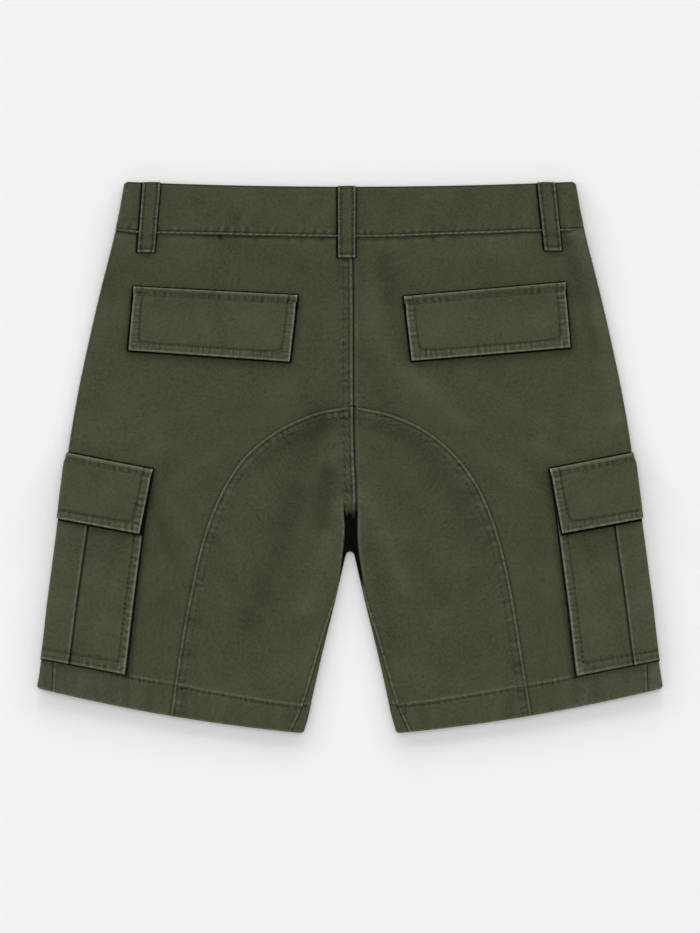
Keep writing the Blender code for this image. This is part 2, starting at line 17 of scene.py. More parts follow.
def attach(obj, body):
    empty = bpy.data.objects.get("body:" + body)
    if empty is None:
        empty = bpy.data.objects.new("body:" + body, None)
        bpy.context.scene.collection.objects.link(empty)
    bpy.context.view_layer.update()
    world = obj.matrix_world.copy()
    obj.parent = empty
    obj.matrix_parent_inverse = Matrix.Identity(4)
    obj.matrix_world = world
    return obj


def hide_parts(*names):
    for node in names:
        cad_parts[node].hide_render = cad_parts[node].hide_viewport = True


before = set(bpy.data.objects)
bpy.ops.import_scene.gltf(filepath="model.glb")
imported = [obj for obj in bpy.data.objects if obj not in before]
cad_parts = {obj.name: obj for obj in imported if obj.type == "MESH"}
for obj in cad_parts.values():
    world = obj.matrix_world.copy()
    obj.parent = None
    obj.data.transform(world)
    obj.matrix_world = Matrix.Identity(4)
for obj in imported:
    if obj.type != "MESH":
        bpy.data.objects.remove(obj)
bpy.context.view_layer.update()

MM = 0.001

# ------------------------------------------------- sizes shared with the solids

LENGTH = 513.0
CLOTH = 0.8                 # one layer of twill
HEM_CLOTH = 1.7             # turned up twice
HEM_HEIGHT = 27.5
BAND_CLOTH = 2.0
LOOP_CLOTH = 1.7
POCKET_CLOTH = 0.8
CARGO_FLAP_CLOTH = 1.4
BACK_FLAP_CLOTH = 1.7
SEAM_GAP = 0.3

TOP_HEIGHT = 5.0
WAIST_LIFT = 2.1
WAIST_TOP = 7.8
BAND_TOP = 8.8
LIFT_LENGTH = 60.0
LAP_RISE = 1.4
BAND_LAP_RISE = 2.3

FOLD_RADIUS = 2.4
FOLD_ARC = 3.8
BAND_FOLD_RADIUS = 3.3
CROTCH_BLEND = 25.0

# The side fold and the inner leg fold, as (drop, across).
SIDE_FOLD = (
    (0.0, 209.6), (46.0, 218.2), (115.0, 235.4), (190.0, 251.8), (245.5, 261.4),
    (313.5, 270.4), (385.0, 279.9), (441.0, 286.5), (471.0, 291.0),
)
INNER_FOLD = (
    (344.8, 0.0), (345.0, 1.1), (345.4, 1.9), (346.2, 2.7), (347.5, 3.5), (349.5, 4.2),
    (357.0, 5.9), (385.0, 12.3), (441.0, 25.9), (497.0, 38.6), (513.0, 43.0),
)
CROTCH = 344.0
SIDE_HEM = 471.0
HEM_LINE = SIDE_HEM - HEM_HEIGHT
HEM_BOW = 4.8
WAIST_SAG = 4.6
EDGE_DROP = 0.8             # rolled edges end this much lower
WAIST_CORNER = 3.4          # length over which the waist's ends are rounded
WAIST_CORNER_DOWN = 1.8     # and how far they come down
HEM_CORNER = 3.0
HEM_CORNER_UP = 1.6
BAND_SIDE = 45.5
BAND_CENTRE = 52.4
# Lower edge of the band, as (across, drop); it hangs a little lower on the left.
BAND_EDGE = (
    (-218.0, 46.6), (-200.0, 48.7), (-177.0, 49.6), (-121.0, 50.5), (-100.0, 51.2),
    (-20.0, 52.6), (33.0, 52.7), (60.0, 51.7), (82.0, 50.8), (115.0, 49.8), (138.0, 49.0),
    (160.0, 47.9), (218.0, 47.0),
)
SIDE_START = BAND_SIDE + SEAM_GAP
CENTRE_START = BAND_CENTRE + SEAM_GAP

# The arched seat seam of each side, as (across, drop), and the centre back seam, as
# (drop, across).
ARCH_TOP = 209.8
ARCH_SEAM = {
    "left": (
        (21.0, 213.1), (37.2, 217.4), (69.8, 233.2), (97.0, 255.4), (115.7, 281.8),
        (129.9, 312.5), (140.0, 344.2), (148.5, 383.2), (154.1, 411.1), (160.0, 447.4),
        (167.0, 496.5),
    ),
    "right": (
        (37.2, 217.0), (69.8, 231.4), (97.8, 254.6), (118.2, 281.8), (132.3, 312.5),
        (142.0, 344.2), (150.5, 383.2), (155.3, 411.1), (161.2, 447.4), (169.0, 496.5),
    ),
}
CENTRE_SEAM = (
    (52.0, 1.8), (110.0, 2.5), (165.0, 2.6), (212.0, 2.9), (255.0, 3.6), (297.0, 5.2),
    (330.0, 1.8), (344.0, 0.0),
)
SIDE_SEAM = ((46.0, 0.0), (270.0, 0.0), (380.0, 6.0), (471.0, 15.0))
INNER_SEAM = ((344.0, 0.0), (385.0, 0.5), (425.0, 3.5), (480.0, 7.0), (513.0, 12.5))

# Back pocket flaps, corners as (across, drop).
BACK_FLAPS = {
    "left": {
        "top_inner": (48.8, 106.4),
        "top_outer": (201.2, 98.3),
        "bottom_outer": (206.4, 157.5),
        "bottom_inner": (55.7, 168.1),
    },
    "right": {
        "top_inner": (50.1, 107.4),
        "top_outer": (200.3, 94.3),
        "bottom_outer": (205.5, 154.9),
        "bottom_inner": (57.0, 167.3),
    },
}
BACK_FLAP_GAP_TOP = 0.35
BACK_FLAP_GAP_BOTTOM = 1.1

# Cargo pockets, by drop along the side fold and reach round it.
POCKET_TOP = 262.0
POCKET_BOTTOM = 443.4
POCKET_HANG = {-1: 0.4, 1: 1.7}      # how much lower its bottom edge hangs, by side
POCKET_HALF = 78.2
# How far out a pocket's pleat and edge are drawn, by side: (reach, outwards).
POCKET_DRAWN = {
    -1: ((0.0, 0.0), (27.3, 2.0), (78.2, 1.6)),
    1: ((0.0, 0.0), (27.3, -0.5), (78.2, 0.2)),
}
PLEAT_HALF = 27.3
PLEAT_TAPER = 2.0
PLEAT_RISE = 0.8
POCKET_STAND = 2.2
POCKET_EDGE_STAND = 2.6
POCKET_EDGE_RUN = 30.0
CARGO_FLAP_TOP = 252.6
CARGO_FLAP_BOTTOM = 314.0
CARGO_FLAP_HALF = {-1: (82.1, 77.8), 1: (79.7, 76.2)}     # at its top and bottom, by side
CARGO_FLAP_STAND = 4.7
CARGO_FLAP_RAISED = 0.038
FLAP_SLANT = 0.052
POCKET_SLANT = 0.047
POCKET_PROUD = 1.1
CARGO_FLAP_PROUD = 2.6
FLAP_TOP_PROUD = 1.2
UNDER_POCKET = 1.6
UNDER_FLAP = 1.75
BACK_LIFT = 0.8
LIFT_PAST = 3.0
POCKET_REACH = 6.0
LIFT_RAMP = 14.0
HEM_RAMP = 46.0
TOP_RAMP = 44.0
TOP_LEAD = 2.0              # full lift this far above the flap's top
FLAP_RAMP = 30.0

# Belt loops: name, layer, top and bottom (across), drops of top and bottom.
LOOP_WIDTH = 17.6
BELT_LOOPS = (
    ("belt_loop_back_centre", 1, (-3.0, -3.0), (3.6, 71.5)),
    ("belt_loop_back_left", 1, (-184.0, -189.5), (0.0, 66.7)),
    ("belt_loop_back_right", 1, (182.0, 189.0), (0.0, 65.2)),
    ("belt_loop_front_left", -1, (-112.0, -114.0), (2.6, 68.0)),
    ("belt_loop_front_right", -1, (112.0, 114.0), (2.6, 68.0)),
)

# Fly, underneath.
FLY_LAP = 12.0
FLY_EDGE_SEWING = 2.6
FLY_SEWING = (
    (-33.0, 56.0), (-33.0, 150.0), (-31.0, 168.0), (-25.0, 184.0), (-15.0, 196.0), (-4.0, 202.0),
)
FLY_END = 196.0
LAP_BELOW = 40.0
LAP_FADE = 20.0
LAP_REACH = 24.0
LAP_SLOPE = 36.0
BAND_END_LEFT = 5.0
BAND_END_RIGHT = -35.0
BAND_LAP_START = 8.0
BAND_LAP_SLOPE = 22.0

# ----------------------------------------------------------- sizes of the finish

SHELL_ROLL = 0.45           # rounding of a raw or folded edge
TUCK = 2.2                  # a lower piece carries on this far under the one sewn over it
LAP_STAND = 0.95            # a lapped seam's upper piece over the lower one
CENTRE_ROWS = (3.5, 8.9)    # two rows of stitches beside the centre seam
ARCH_ROWS = (3.2, 9.0)
ARCH_SECOND_MARKED = 0.45   # its second row shows less
ARCH_SLOPE = 12.0           # and the cloth inside it slopes away gently
# Height of the hem's sewing above its fold, as (across, height).
HEM_SEWING = (
    (-291.0, 31.0), (-250.0, 31.0), (-225.0, 29.5), (-207.0, 28.2), (-177.0, 28.3),
    (-158.0, 28.5), (-140.0, 27.1), (-121.0, 26.4), (-93.0, 25.2), (-70.0, 24.3),
    (-43.0, 23.8), (43.0, 24.2), (70.0, 24.6), (93.0, 25.3), (121.0, 26.3), (149.0, 26.9),
    (186.0, 26.9), (205.0, 27.3), (225.0, 29.5), (250.0, 31.0), (291.0, 31.0),
)
HEM_EDGE = 3.0              # the turned-up edge is this far above its sewing
HEM_CLOSE = 4.0             # rows of points are close this far on both sides of it
HEM_STEP = 0.8
BACK_STEP = 2.2             # from row to row of the back panels
FRONT_STEP = 4.0            # and of the fronts
LAP_SLOPE_AFTER_ROW = 3.4   # width over which a lap comes down past its second row
FLAP_SEWING = 8.0           # stitches inside the edge of a flap
CORNER_CUT = 7.0            # how widely its sewing rounds a corner
FLAP_TOP_SEWING = 5.8
POCKET_SEWING = 7.0
POCKET_LOW_SEWING = 8.8     # stitches above a pocket's bottom edge
LOOP_SEWING = 2.9
LOOP_CLEAR = 0.35           # a loop underneath keeps this far off the floor
LOOP_BEND = 1.9             # turn of a loop over the band's top edge
BAND_RIDGE = 1.5            # pressed ridge above the band's lower edge
BAND_GROOVE = 3.0
TACK = 4.2                  # bar tack above a loop's lower end
FADED = 0.034               # how much paler flaps and pockets have washed
SHADE_REACH = 8.0           # how far the soft shade around a piece reaches
PIECE_SHADE = 0.3           # how dark it is beside a flap or pocket
LOOP_SHADE = 0.06           # and beside a belt loop
SHADE_OVER_TOP = 0.25       # share of it that shows above a piece's sewn top
FAR_OFF = 99.0              # distance kept where no piece lies on the cloth
SOFT_TOP = 0.45             # the painted shadow outline is this much thinner above a flap
SOFT_RIGHT = 0.6            # and this much thinner beside the right back flap
LOOP_TRIM = 0.5             # folded cloth draws a loop in this much on each side
LOOP_OUTLINE = (0.0, 0.8, 0.9)      # thinner by this at a loop's left, right and low edge
SOFT_EDGE = 2.2             # keeps the hard painted shadow outline off an edge that slopes down

# The deep fold at the crotch, sunk and painted near black as its shade: its two edges as (drop,
# across).
SLIT_DEPTH = 1.3
SLIT_LEFT = (
    (290.0, -4.6), (300.0, -6.1), (325.0, -4.8), (343.0, -6.4), (362.0, -8.7), (385.0, -12.0),
)
SLIT_RIGHT = (
    (290.0, 5.8), (300.0, 7.3), (325.0, 6.9), (343.0, 7.8), (362.0, 10.6), (385.0, 14.4),
)
SLIT_START = 292.0
SLIT_RUN_IN = 24.0
SLIT_END = 362.0
SLIT_RUN_OUT = 22.0
SLIT_LATER = 6.0            # how much lower its middle begins than its edges
SLIT_EDGE = 3.0             # over this width in from them
SLIT_UNEVEN = 1.6           # and how unevenly
SLIT_WAVE = 3.4
SLIT_OUTSIDE = 1.2          # its sides slope from this far outside its edges
SLIT_SLOPE = 3.2            # over this width

STITCH_PITCH = 4.6
STITCH_LENGTH = 3.5
STITCH_RADIUS = 0.34
BAND_STITCH = (6.1, 4.2, 0.5)       # the same three along the waistband
STITCH_SIDES = 6
# Rings of points round a stitch: share of its length, then width and lift in radii.
STITCH_RINGS = ((-0.5, 0.35, -0.55), (-0.36, 0.9, 0.2), (0.36, 0.9, 0.2), (0.5, 0.35, -0.55))
CORNER_RADIUS = 4.0         # of a sewing row round a corner
ABOVE = 1.2                 # how far off the cloth a row of stitches is drawn
NEAR = 2.0                  # stitches further from their piece than this are left out

GUSSET_TOP = 1.6            # width of the pocket's turned-down edge
GUSSET_BOTTOM = 5.4
POCKET_HEM = 1.7

# Soft troughs and ridges of the back: line, half width, depth (ridge below 0).
CREASES = (
    (((-30.0, 226.0), (-44.0, 269.0), (-60.0, 334.0), (-91.0, 413.0)), 16.0, 1.3),
    (((-26.0, 234.0), (-54.0, 245.0), (-82.0, 268.0)), 13.0, 0.7),
    (((-20.0, 276.0), (-24.0, 322.0)), 9.0, 1.7),
    (((-18.0, 222.0), (-14.0, 269.0)), 6.0, -0.5),
    (((-11.0, 308.0), (-26.0, 357.0), (-41.0, 401.0)), 10.0, -1.0),
    (((-32.0, 427.0), (-41.0, 473.0)), 10.0, -0.5),
    (((40.0, 232.0), (68.0, 263.0), (100.0, 302.0), (117.0, 338.0)), 15.0, 1.0),
    (((28.0, 259.0), (58.0, 311.0)), 10.0, 0.6),
    (((13.0, 295.0), (32.0, 334.0), (50.0, 382.0)), 9.0, -1.1),
    (((20.0, 349.0), (33.0, 401.0), (40.0, 441.0)), 8.0, 0.9),
    (((60.0, 348.0), (86.0, 392.0)), 11.0, 0.6),
    (((-34.0, 137.0), (-42.0, 202.0)), 9.0, 0.6),
    (((33.0, 75.0), (38.0, 129.0), (50.0, 168.0)), 8.0, 1.1),
    (((20.0, 109.0), (33.0, 157.0), (74.0, 200.0), (104.0, 226.0)), 10.0, -0.9),
    (((13.0, 166.0), (35.0, 208.0)), 8.0, 0.6),
    (((213.0, 47.0), (232.0, 129.0), (249.0, 222.0)), 10.0, -1.4),
    (((203.0, 60.0), (219.0, 122.0), (229.0, 160.0)), 8.0, 1.2),
    (((201.0, 193.0), (195.0, 243.0)), 9.0, 0.5),
    (((-232.0, 81.0), (-249.0, 196.0)), 10.0, -0.5),
    (((-186.0, 297.0), (-173.0, 339.0), (-149.0, 382.0)), 7.0, 0.6),
    (((-171.0, 297.0), (-138.0, 354.0)), 8.0, -0.5),
    (((-172.0, 394.0), (-140.0, 414.0)), 12.0, 0.6),
    (((182.0, 278.0), (177.0, 354.0)), 9.0, 0.5),
    (((-127.0, 47.0), (-97.0, 75.0), (-46.0, 81.0)), 10.0, 0.5),
    (((74.0, 72.0), (140.0, 64.0)), 12.0, -0.4),
    (((112.0, 390.0), (130.0, 436.0)), 10.0, 0.5),
)
# The front lies on the floor, so only troughs show there.
FRONT_CREASES = (
    (((-40.0, 322.0), (-78.0, 298.0), (-128.0, 290.0)), 9.0, 0.7),
    (((-46.0, 345.0), (-86.0, 338.0), (-132.0, 349.0)), 10.0, 0.5),
    (((42.0, 316.0), (84.0, 286.0), (135.0, 276.0)), 10.0, 0.7),
    (((46.0, 342.0), (80.0, 342.0), (116.0, 354.0)), 8.0, 0.5),
    (((-60.0, 378.0), (-72.0, 424.0), (-74.0, 466.0)), 10.0, 0.5),
    (((70.0, 370.0), (92.0, 420.0), (98.0, 452.0)), 11.0, 0.6),
    (((-52.0, 122.0), (-98.0, 152.0), (-156.0, 168.0)), 12.0, 0.5),
    (((50.0, 112.0), (96.0, 156.0), (166.0, 186.0)), 12.0, 0.5),
    (((-34.0, 226.0), (-52.0, 262.0), (-84.0, 276.0)), 8.0, 0.5),
    (((38.0, 206.0), (48.0, 248.0)), 9.0, 0.4),
)
CREASE_SHADE = 0.17         # how much painted shade a trough gets for each millimetre
CREASE_HIGHLIGHT = 0.085         # and how much painted highlight a ridge gets
CREASE_UNEVEN = 0.16        # share by which its depth varies along it
CREASE_WAVE = 75.0
BAND_TICKS = ((-121.0, 0.9), (-26.0, 0.7), (77.0, 0.4))   # darker ticks below the band: across, strength


# ---------------------------------------------------------------- small maths

def mix(low, high, share):
    return low + (high - low) * share


def ease(share):
    share = np.clip(share, 0.0, 1.0)
    return share * share * (3.0 - 2.0 * share)


def fade(share):
    return 1.0 - ease(share)


def bump(away, half_width):
    return np.exp(-((away / half_width) ** 2))


def smooth(table, place):
    """Reads a (place, value) table as one smooth curve."""
    places, values = np.array(table, float).T
    slopes = np.empty_like(values)
    slopes[1:-1] = (values[2:] - values[:-2]) / (places[2:] - places[:-2])
    slopes[0] = (values[1] - values[0]) / (places[1] - places[0])
    slopes[-1] = (values[-1] - values[-2]) / (places[-1] - places[-2])
    place = np.clip(place, places[0], places[-1])
    i = np.clip(np.searchsorted(places, place, side="right") - 1, 0, len(places) - 2)
    step = places[i + 1] - places[i]
    t = (place - places[i]) / step
    return (
        (2 * t**3 - 3 * t**2 + 1) * values[i]
        + (t**3 - 2 * t**2 + t) * step * slopes[i]
        + (3 * t**2 - 2 * t**3) * values[i + 1]
        + (t**3 - t**2) * step * slopes[i + 1]
    )


def along(points, share):
    """The points at these shares of the length of a smooth curve, as two arrays."""
    points = np.array(points, float)
    steps = np.hypot(*np.diff(points, axis=0).T)
    lengths = np.concatenate([[0.0], np.cumsum(steps)])
    place = np.asarray(share) * lengths[-1]
    return tuple(smooth(np.stack([lengths, points[:, i]], 1), place) for i in (0, 1))


def ripple(place, length, seed, waves=5):
    """An uneven ripple of about -1 to 1, whose waves are near the given length."""
    draw = np.random.default_rng(seed)
    total = 0.0
    for _ in range(waves):
        wave = length * draw.uniform(0.55, 1.7)
        total = total + np.sin(2.0 * math.pi * (place / wave + draw.uniform()))
    return total / math.sqrt(waves)


def joined(*parts):
    """Points from their parts: across, drop and height or turn."""
    return np.stack(np.broadcast_arrays(*parts), -1)


def spaced(start, end, step):
    """Even places from start to end, about a step apart."""
    return np.linspace(start, end, max(int(round(abs(end - start) / step)), 1) + 1)


def seam_place(line, across, drop):
    """(distance from a line of points, + to its left going along it; length along it)."""
    line = np.array(line, float)
    nearest = np.full(np.shape(across), np.inf)
    away, run = np.zeros(nearest.shape), np.zeros(nearest.shape)
    begun = 0.0
    for (x0, y0), (x1, y1) in zip(line, line[1:]):
        dx, dy = x1 - x0, y1 - y0
        length = math.hypot(dx, dy)
        share = np.clip(((across - x0) * dx + (drop - y0) * dy) / length**2, 0.0, 1.0)
        off_x, off_y = across - x0 - share * dx, drop - y0 - share * dy
        distance = np.hypot(off_x, off_y)
        nearer = distance < nearest
        sign = np.where(off_x * dy - off_y * dx < 0.0, -1.0, 1.0)
        nearest = np.where(nearer, distance, nearest)
        away = np.where(nearer, distance * sign, away)
        run = np.where(nearer, begun + share * length, run)
        begun += length
    return away, run


# ------------------------------------------------------- the garment's form

def side_fold(drop):
    return smooth(SIDE_FOLD, drop)


def side_angle(drop):
    return np.arctan((side_fold(drop + 5.0) - side_fold(drop - 5.0)) / 10.0)


def inner_fold(drop):
    return np.where(drop > CROTCH, smooth(INNER_FOLD, drop), 0.0)


def centre_seam(drop):
    return smooth(CENTRE_SEAM, drop)


def waist_edge(across):
    half = side_fold(0.0)
    corner = np.clip(1.0 - (half - np.abs(across)) / WAIST_CORNER, 0.0, 1.0)
    sag = WAIST_SAG * (1.0 - (across / half) ** 2)
    return EDGE_DROP + WAIST_CORNER_DOWN * corner**2 + sag


def band_edge(across):
    return smooth(BAND_EDGE, across)


def hem_edge(across):
    inner, outer = inner_fold(LENGTH), side_fold(SIDE_HEM)
    share = np.clip((np.abs(across) - inner) / (outer - inner), 0.0, 1.0)
    nearest = np.minimum(outer - np.abs(across), np.abs(across) - inner)
    corner = np.clip(1.0 - nearest / HEM_CORNER, 0.0, 1.0)
    edge = EDGE_DROP - HEM_CORNER_UP * corner**2 + mix(LENGTH, SIDE_HEM, share)
    return edge + HEM_BOW * 4.0 * share * (1.0 - share)


def fold_place(across, drop):
    """(drop of the nearest place on the side fold, distance in from it)."""
    angle = side_angle(drop)
    inward = (side_fold(drop) - np.abs(across)) * np.cos(angle)
    return drop - inward * np.sin(angle), inward


def flap_lift(at):
    return UNDER_FLAP * fade((at - CARGO_FLAP_BOTTOM - LIFT_PAST) / FLAP_RAMP)


def pocket_lift(across, drop, hem_ramp=LIFT_RAMP):
    """How far a cargo pocket and its flap underneath hold the front up."""
    at, inward = fold_place(across, drop)
    top = ease((at - CARGO_FLAP_TOP + TOP_LEAD) / TOP_RAMP + 1.0)
    bottom = ease((POCKET_BOTTOM + LIFT_PAST + hem_ramp - at) / hem_ramp)
    inner = ease((POCKET_HALF + POCKET_REACH + LIFT_RAMP - inward) / LIFT_RAMP)
    return top * bottom * inner * (UNDER_POCKET + flap_lift(at))


def waist_share(across, drop):
    past = drop - band_edge(across) - LOOP_WIDTH
    return fade(past / LIFT_LENGTH)


def under(across, drop):
    """Height of the front layer's outer surface."""
    lift = WAIST_LIFT * waist_share(across, drop) + pocket_lift(across, drop)
    return lift + crease(across, drop, FRONT_CREASES)


def crease(across, drop, lines=CREASES):
    """Depth of the soft folds at a place on the back, or on the front."""
    depth = np.zeros(np.shape(across))
    for line, half_width, deep in lines:
        away, run = seam_place(line, across, drop)
        uneven = 1.0 + CREASE_UNEVEN * ripple(run, CREASE_WAVE, len(line))
        depth = depth + deep * uneven * bump(away, half_width)
    return depth


def slit_place(across, drop):
    """(distance inside the edges of the crotch's deep fold, share of its length)."""
    inside = np.minimum(across - smooth(SLIT_LEFT, drop), smooth(SLIT_RIGHT, drop) - across)
    later = SLIT_LATER * ease(inside / SLIT_EDGE) + SLIT_UNEVEN * ripple(across, SLIT_WAVE, 5)
    begun = ease((drop - later - SLIT_START) / SLIT_RUN_IN)
    return inside, begun * fade((drop - SLIT_END) / SLIT_RUN_OUT)


def over(across, drop):
    """Height of the back layer's outer surface."""
    rise = (WAIST_TOP - TOP_HEIGHT) * waist_share(across, drop)
    rise = rise + BACK_LIFT * pocket_lift(across, drop, HEM_RAMP)
    inside, length = slit_place(across, drop)
    sunk = SLIT_DEPTH * length * ease((inside + SLIT_OUTSIDE) / SLIT_SLOPE)
    return TOP_HEIGHT + rise - (crease(across, drop) + sunk)


def at_turn(high, low, turn):
    """Height at turn 1 on the back, -1 on the front and between them on a fold."""
    return (high + low) / 2.0 + turn * (high - low) / 2.0


def round_side(at, reach, proud=0.0):
    """(across, drop, turn) at a reach round the side fold, above 0 on the back."""
    quarter = np.clip(reach / FOLD_ARC, -1.0, 1.0) * math.pi / 2.0
    inward = FOLD_RADIUS - (FOLD_RADIUS + proud) * np.cos(quarter)
    inward = inward + np.maximum(np.abs(reach) - FOLD_ARC, 0.0)
    angle = side_angle(at)
    across = side_fold(at) - inward * np.cos(angle)
    return joined(across, at + inward * np.sin(angle), np.sin(quarter))


def round_inner(at, reach, layer):
    """The same round the inner leg fold, flattening out above the crotch."""
    quarter = np.clip(reach / FOLD_ARC, -1.0, 1.0) * math.pi / 2.0
    inward = FOLD_RADIUS * (1.0 - np.cos(quarter))
    inward = inward + np.maximum(np.abs(reach) - FOLD_ARC, 0.0)
    turn = mix(layer, np.sin(quarter), ease((at - CROTCH) / CROTCH_BLEND + 1.0))
    return joined(inner_fold(at) + SEAM_GAP / 2.0 + inward, at, turn)


def share_down(drop):
    """Share of the way down the side fold, from the band to the hem."""
    return (drop - SIDE_START) / (SIDE_HEM - SIDE_START)


HEM_SHARE = share_down(HEM_LINE)


def centre_share(drop):
    return HEM_SHARE * (drop - CENTRE_START) / (LENGTH - HEM_HEIGHT - CENTRE_START)


ARCH_SHARE = centre_share(ARCH_TOP)


def rail_drop(start, end, share, above=0.0):
    """Distance down a rail that begins at the share above and keeps the hem's height."""
    hem = end - HEM_HEIGHT
    body = mix(start, hem, (share - above) / (HEM_SHARE - above))
    turned = mix(hem, end, (share - HEM_SHARE) / (1.0 - HEM_SHARE))
    return np.where(share <= HEM_SHARE, body, turned)


def arch_line(side):
    """The arched seam's own points on one side, from the centre seam down."""
    start = (side * float(centre_seam(ARCH_TOP)), ARCH_TOP)
    return (start,) + ARCH_SEAM["left" if side < 0 else "right"]


def on_arch(side, share, off):
    """A place on the arched seam, moved off it towards the side (+) or the leg (-)."""
    seam = np.array(arch_line(side))
    length = np.hypot(*np.diff(seam, axis=0).T).sum()
    place = rail_drop(0.0, length, share, ARCH_SHARE) / length
    across, drop = along(seam, place)
    near = along(seam, np.maximum(place - 0.01, 0.0))
    far = along(seam, np.minimum(place + 0.01, 1.0))
    dx, dy = far[0] - near[0], far[1] - near[1]
    span = np.hypot(dx, dy)
    return joined(across + off * dy / span, drop - off * dx / span, 1.0)


# --------------------------------------------------- relief, wear, painted shade and painted highlights

class Finish:
    """What sewing, wear, painted shade and painted highlights add to a piece, gathered over all of
    its points.
    """

    def __init__(self, shape):
        self.rise = np.zeros(shape)
        self.wear_and_highlight = np.zeros(shape)
        self.deep = np.zeros(shape)
        self.beyond = np.full(shape, FAR_OFF)

    def ridge(self, away, half_width, rise, wear_and_highlight=0.0):
        # A raised line; its paler colour is wear and painted highlight.
        here = bump(away, half_width)
        self.rise += rise * here
        self.wear_and_highlight += wear_and_highlight * here

    def groove(self, away, half_width, depth, deep=0.0):
        # A sunk line; its deep is painted shade in the groove.
        here = bump(away, half_width)
        self.rise -= depth * here
        self.deep += deep * here

    def lies_under(self, beyond, shade=0.0):
        """Keeps the distance beyond the edge of the nearest piece lying on this one.

        shade is how dark the cloth gets in the soft shade around that piece.
        """
        self.beyond = np.minimum(self.beyond, beyond)
        self.deep += shade * fade(beyond / SHADE_REACH)

    def shadow(self, away, half_width, deep):
        """Painted shadow just outside the edge of what lies on it."""
        self.deep += deep * bump(np.maximum(away, 0.0), half_width)

    def pucker(self, run, away, half_width, depth, length, seed, mark=0.35):
        """Small uneven tucks across a seam, strongest at its stitches, with painted shade in their
        hollows and painted highlight on their crests.
        """
        here = bump(away, half_width)
        wave = ripple(run, length, seed)
        self.rise += depth * wave * here
        self.deep += mark * np.clip(-wave - 0.3, 0.0, 1.0) * here
        self.wear_and_highlight += mark * 0.5 * np.clip(wave - 0.3, 0.0, 1.0) * here

    def felled(self, inside, run, seed, share=1.0):
        """The pressed allowance beside a plain seam, with painted highlight on its ridge and
        painted shade in its grooves.
        """
        broken = 0.36 + 0.16 * ripple(run, 6.0, seed + 1)
        self.ridge(inside - 1.7, 0.9, 0.2 * share, broken * share)
        self.groove(inside - 0.3, 0.6, 0.1 * share, 0.3 * share)
        self.groove(inside - 3.4, 0.8, 0.2 * share, 0.32 * share)
        self.pucker(run, inside - 2.2, 2.4, 0.1 * share, 7.0, seed, 0.25)

    def lap(self, inside, run, rows, seed, share=1.0, marked=1.0, slope=LAP_SLOPE_AFTER_ROW):
        """A piece lapped over its neighbour, sewn with two rows beside its edge, with painted
        highlight on the edge and painted shade in the rows.
        """
        first, second = rows
        level = fade((inside - second + 0.6) / slope)
        self.rise += LAP_STAND * level * share
        broken = 0.36 + 0.2 * ripple(run, 5.2, seed + 3)
        self.ridge(inside - 1.5, 0.9, 0.2 * share, broken * share)
        self.groove(inside - first, 0.7, 0.35 * share, 0.45 * share)
        self.groove(inside - second, 0.8, 0.16 * share, 0.12 * share * marked)
        self.pucker(run, inside - mix(first, second, 0.5), 3.6, 0.14 * share, 5.0, seed, 0.4)
        self.pucker(run, inside - second, 2.2, 0.11 * share, 4.6, seed + 1, 0.5 * marked)
        self.pucker(run, inside - 4.0, 9.0, 0.16 * share, 22.0, seed + 2, 0.16)


# --------------------------------------------------------------- mesh making

def to_world(points):
    """Metres in the frame, from (across, drop, height) in millimetres."""
    across, drop, height = np.moveaxis(np.asarray(points, float), -1, 0)
    return joined(across, LENGTH / 2.0 - drop, height) * MM


def lengths_along(points, axis):
    """Length run from the first point, down or across a grid of points."""
    steps = np.linalg.norm(np.diff(points, axis=axis), axis=-1)
    start = np.zeros_like(np.take(steps, [0], axis=axis))
    return np.concatenate([start, np.cumsum(steps, axis=axis)], axis=axis)


def rounded(distance, roll):
    return np.sqrt(1.0 - (1.0 - np.clip(distance / roll, 0.0, 1.0)) ** 2)


def add_mesh(name, points, faces, material):
    mesh = bpy.data.meshes.new(name)
    mesh.from_pydata(points, [], faces)
    mesh.materials.append(material)
    mesh.shade_smooth()
    item = bpy.data.objects.new(name, mesh)
    bpy.context.scene.collection.objects.link(item)
    return item


